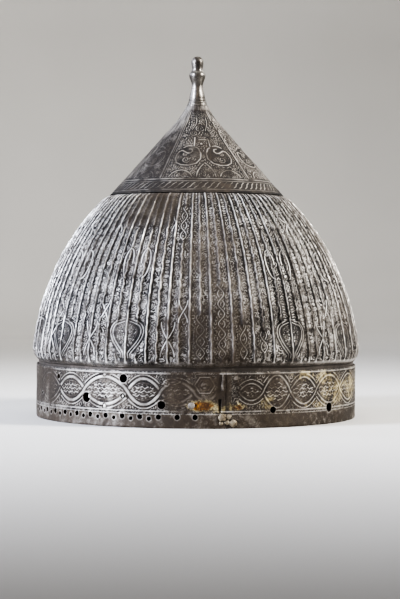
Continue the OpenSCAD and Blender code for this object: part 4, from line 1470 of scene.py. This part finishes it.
band_finish = steel("BandSteel", middle="#453d35", bright="#cbc6bd", tarnish=0.45)
bowl_finish = steel("BowlSteel", middle="#575049", bright="#dcd8d1", tarnish=0.35, grain=0.65)
# the cone's middle and bright are darker than the bowl's: painted shade on the upward-facing cone
cone_finish = steel("ConeSteel", middle="#302a25", bright="#a59e94", tarnish=0.4, grain=0.7)
knob_finish = steel("KnobSteel", masked=False, middle="#5c564f", dark="#201b17", raised=0.15,
                    sunk=0.2, tarnish=0.4, polish=1.0)
stub_finish = steel("StubSteel", masked=False, middle="#5a5148", raised=0.15, sunk=0.25, tarnish=0.5)
iron_finish = steel("RivetIron", masked=False, middle="#4d433a", sunk=0.45, tarnish=0.9, bump=0.8)
strap_finish = steel("StrapIron", masked=False, middle="#473c33", sunk=0.5, tarnish=1.0, bump=0.8)
braze_finish = steel("BrazeMetal", masked=False, middle="#7b705c", dark="#44372a", bright="#d0c8b4",
                     raised=0.15, sunk=0.3, gilt=0.15, tarnish=0.4, bump=1.0)
for finish, pieces in ((band_finish, band_pieces), (bowl_finish, bowl_pieces), (cone_finish, cone_pieces),
                       (knob_finish, (finial, collar)), (stub_finish, (stub,)), (braze_finish, (blobs,)),
                       (iron_finish, (band_riveting, cone_riveting, strap_riveting))):
    for piece in pieces:
        piece.data.materials.append(finish)


def refinish(name, material):
    """Gives a measured piece a material of its own."""
    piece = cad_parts[name]
    if not piece.data.materials:
        piece.data.materials.append(material)
    for slot in piece.material_slots:
        slot.link = "OBJECT"
        slot.material = material


refinish("peak_rivet", stub_finish)
refinish("finial_rove", iron_finish)
refinish("seam_strap", strap_finish)
print("materials:", len(bpy.data.materials))

# %% [markdown]
# ## The studio
#
# The helmet stands on a pale floor that curves up into a backdrop. The backdrop stands 2.4 m back,
# so that a camera behind the helmet is still in front of it. Two tall soft lights at the left and
# the right turn one flank of each flute to the light and the other to the dark, so that the middle
# stays deeper in tone. Two weaker ones behind draw the edges, one from the top and one in front
# open the shadows a little, and the last two light the backdrop alone.

# %% Floor and backdrop
WALL_Y, FLOOR_FRONT, FLOOR_HALF, WALL_TALL, WALL_BACK, WALL_CURVE = 2.4, -3.2, 4.0, 2.6, 0.3, 0.6
bm = bmesh.new()
bmesh.ops.create_grid(bm, x_segments=1, y_segments=1, size=1)
for v in bm.verts:
    v.co = Vector((v.co.x * FLOOR_HALF, WALL_Y if v.co.y > 0 else FLOOR_FRONT, 0))
edge = [e for e in bm.edges if all(v.co.y > 0 for v in e.verts)]
for v in bmesh.ops.extrude_edge_only(bm, edges=edge)["geom"]:
    if isinstance(v, bmesh.types.BMVert):
        v.co += Vector((0, WALL_BACK, WALL_TALL))
bmesh.ops.bevel(bm, geom=edge, offset=WALL_CURVE, segments=16, profile=0.5, affect="EDGES", material=-1)
floor = made_piece("studio_floor", bm, 180)
floor_paint = bpy.data.materials.new("FloorPaint")
floor_paint.use_nodes = True
tree = floor_paint.node_tree
shader = tree.nodes["Principled BSDF"]
shade = noise(tree, node(tree, "TexCoord").outputs["Object"], 3, 2)
tree.links.new(mixed(tree, shade, linear("#b9b6b1"), linear("#c4c1bc")), shader.inputs["Base Color"])
shader.inputs["Roughness"].default_value = 0.8
floor.data.materials.append(floor_paint)

world = bpy.data.worlds.new("StudioAir")
bpy.context.scene.world = world
world.use_nodes = True
air = world.node_tree.nodes["Background"].inputs
air["Color"].default_value = linear("#8f8f92")
air["Strength"].default_value = 0.04
print("floor faces:", len(floor.data.polygons))


# %% Lights
def soft_light(name, where, aim, wide, tall, watts, spread, tint="#ffffff"):
    data = bpy.data.lights.new(name, "AREA")
    data.spread = radians(spread)
    data.shape, data.size, data.size_y, data.energy = "RECTANGLE", wide, tall, watts
    data.color = linear(tint)[:3]
    lamp = bpy.data.objects.new(name, data)
    lamp.location = where
    lamp.rotation_euler = (Vector(aim) - Vector(where)).to_track_quat("-Z", "Y").to_euler()
    bpy.context.scene.collection.objects.link(lamp)


COOL, WARM = "#e2ebff", "#ffe9d2"
soft_light("left_light", (-1.15, -0.35, 0.55), (0, 0, 0.12), 0.3, 1.1, 8.5, 70, COOL)
soft_light("right_light", (1.0, -0.5, 0.8), (0, 0, 0.12), 0.25, 0.9, 5.5, 70)
soft_light("left_rim", (-1.0, 0.6, 0.7), (0, 0, 0.15), 0.4, 1.0, 1.7, 70, COOL)
soft_light("right_rim", (1.0, 0.6, 0.7), (0, 0, 0.15), 0.4, 1.0, 0.8, 70)
soft_light("top_light", (0.0, 0.1, 1.5), (0, 0, 0.1), 0.7, 0.5, 0.8, 70)
soft_light("front_fill", (-0.5, -2.4, 1.2), (0, 0, 0.1), 0.8, 0.6, 0.6, 60, WARM)
soft_light("backdrop_light", (0.0, 0.5, 2.2), (0, 1.6, 0.7), 2.4, 0.4, 20, 120)
soft_light("wall_light", (0.0, 1.6, 2.4), (0, 2.4, 0.6), 2.4, 0.4, 9, 120)
bpy.context.scene.view_settings.view_transform = "AgX"
bpy.context.scene.view_settings.look = "AgX - Very High Contrast"

# %% [markdown]
# ## The camera
#
# The photograph was taken from a little left of the front, level with the middle of the bowl and
# slightly tilted down, with a long lens.

# %% Camera
CAMERA_AWAY, CAMERA_T, EYE_Z, AIM_RIGHT = 1.200, -10.0, 0.0983, 0.0026
TILT, ROLL, LENS, SENSOR = 0.884, 0.3, 104.3, 36
camera_data = bpy.data.cameras.new("camera")
camera_data.lens, camera_data.sensor_width = LENS, SENSOR
camera = bpy.data.objects.new("camera", camera_data)
back = Vector((sin(radians(CAMERA_T)), -cos(radians(CAMERA_T)), 0))
rightward = Vector((cos(radians(CAMERA_T)), sin(radians(CAMERA_T)), 0))
camera.location = back * CAMERA_AWAY + Vector((0, 0, EYE_Z))
aim = rightward * AIM_RIGHT + Vector((0, 0, EYE_Z - CAMERA_AWAY * sin(radians(TILT))))
look_down = (aim - camera.location).to_track_quat("-Z", "Y").to_matrix().to_4x4()
camera.matrix_world = Matrix.Translation(camera.location) @ look_down @ Matrix.Rotation(radians(ROLL), 4, "Z")
bpy.context.scene.collection.objects.link(camera)
bpy.context.scene.camera = camera
print("camera at", tuple(round(c, 3) for c in camera.location))
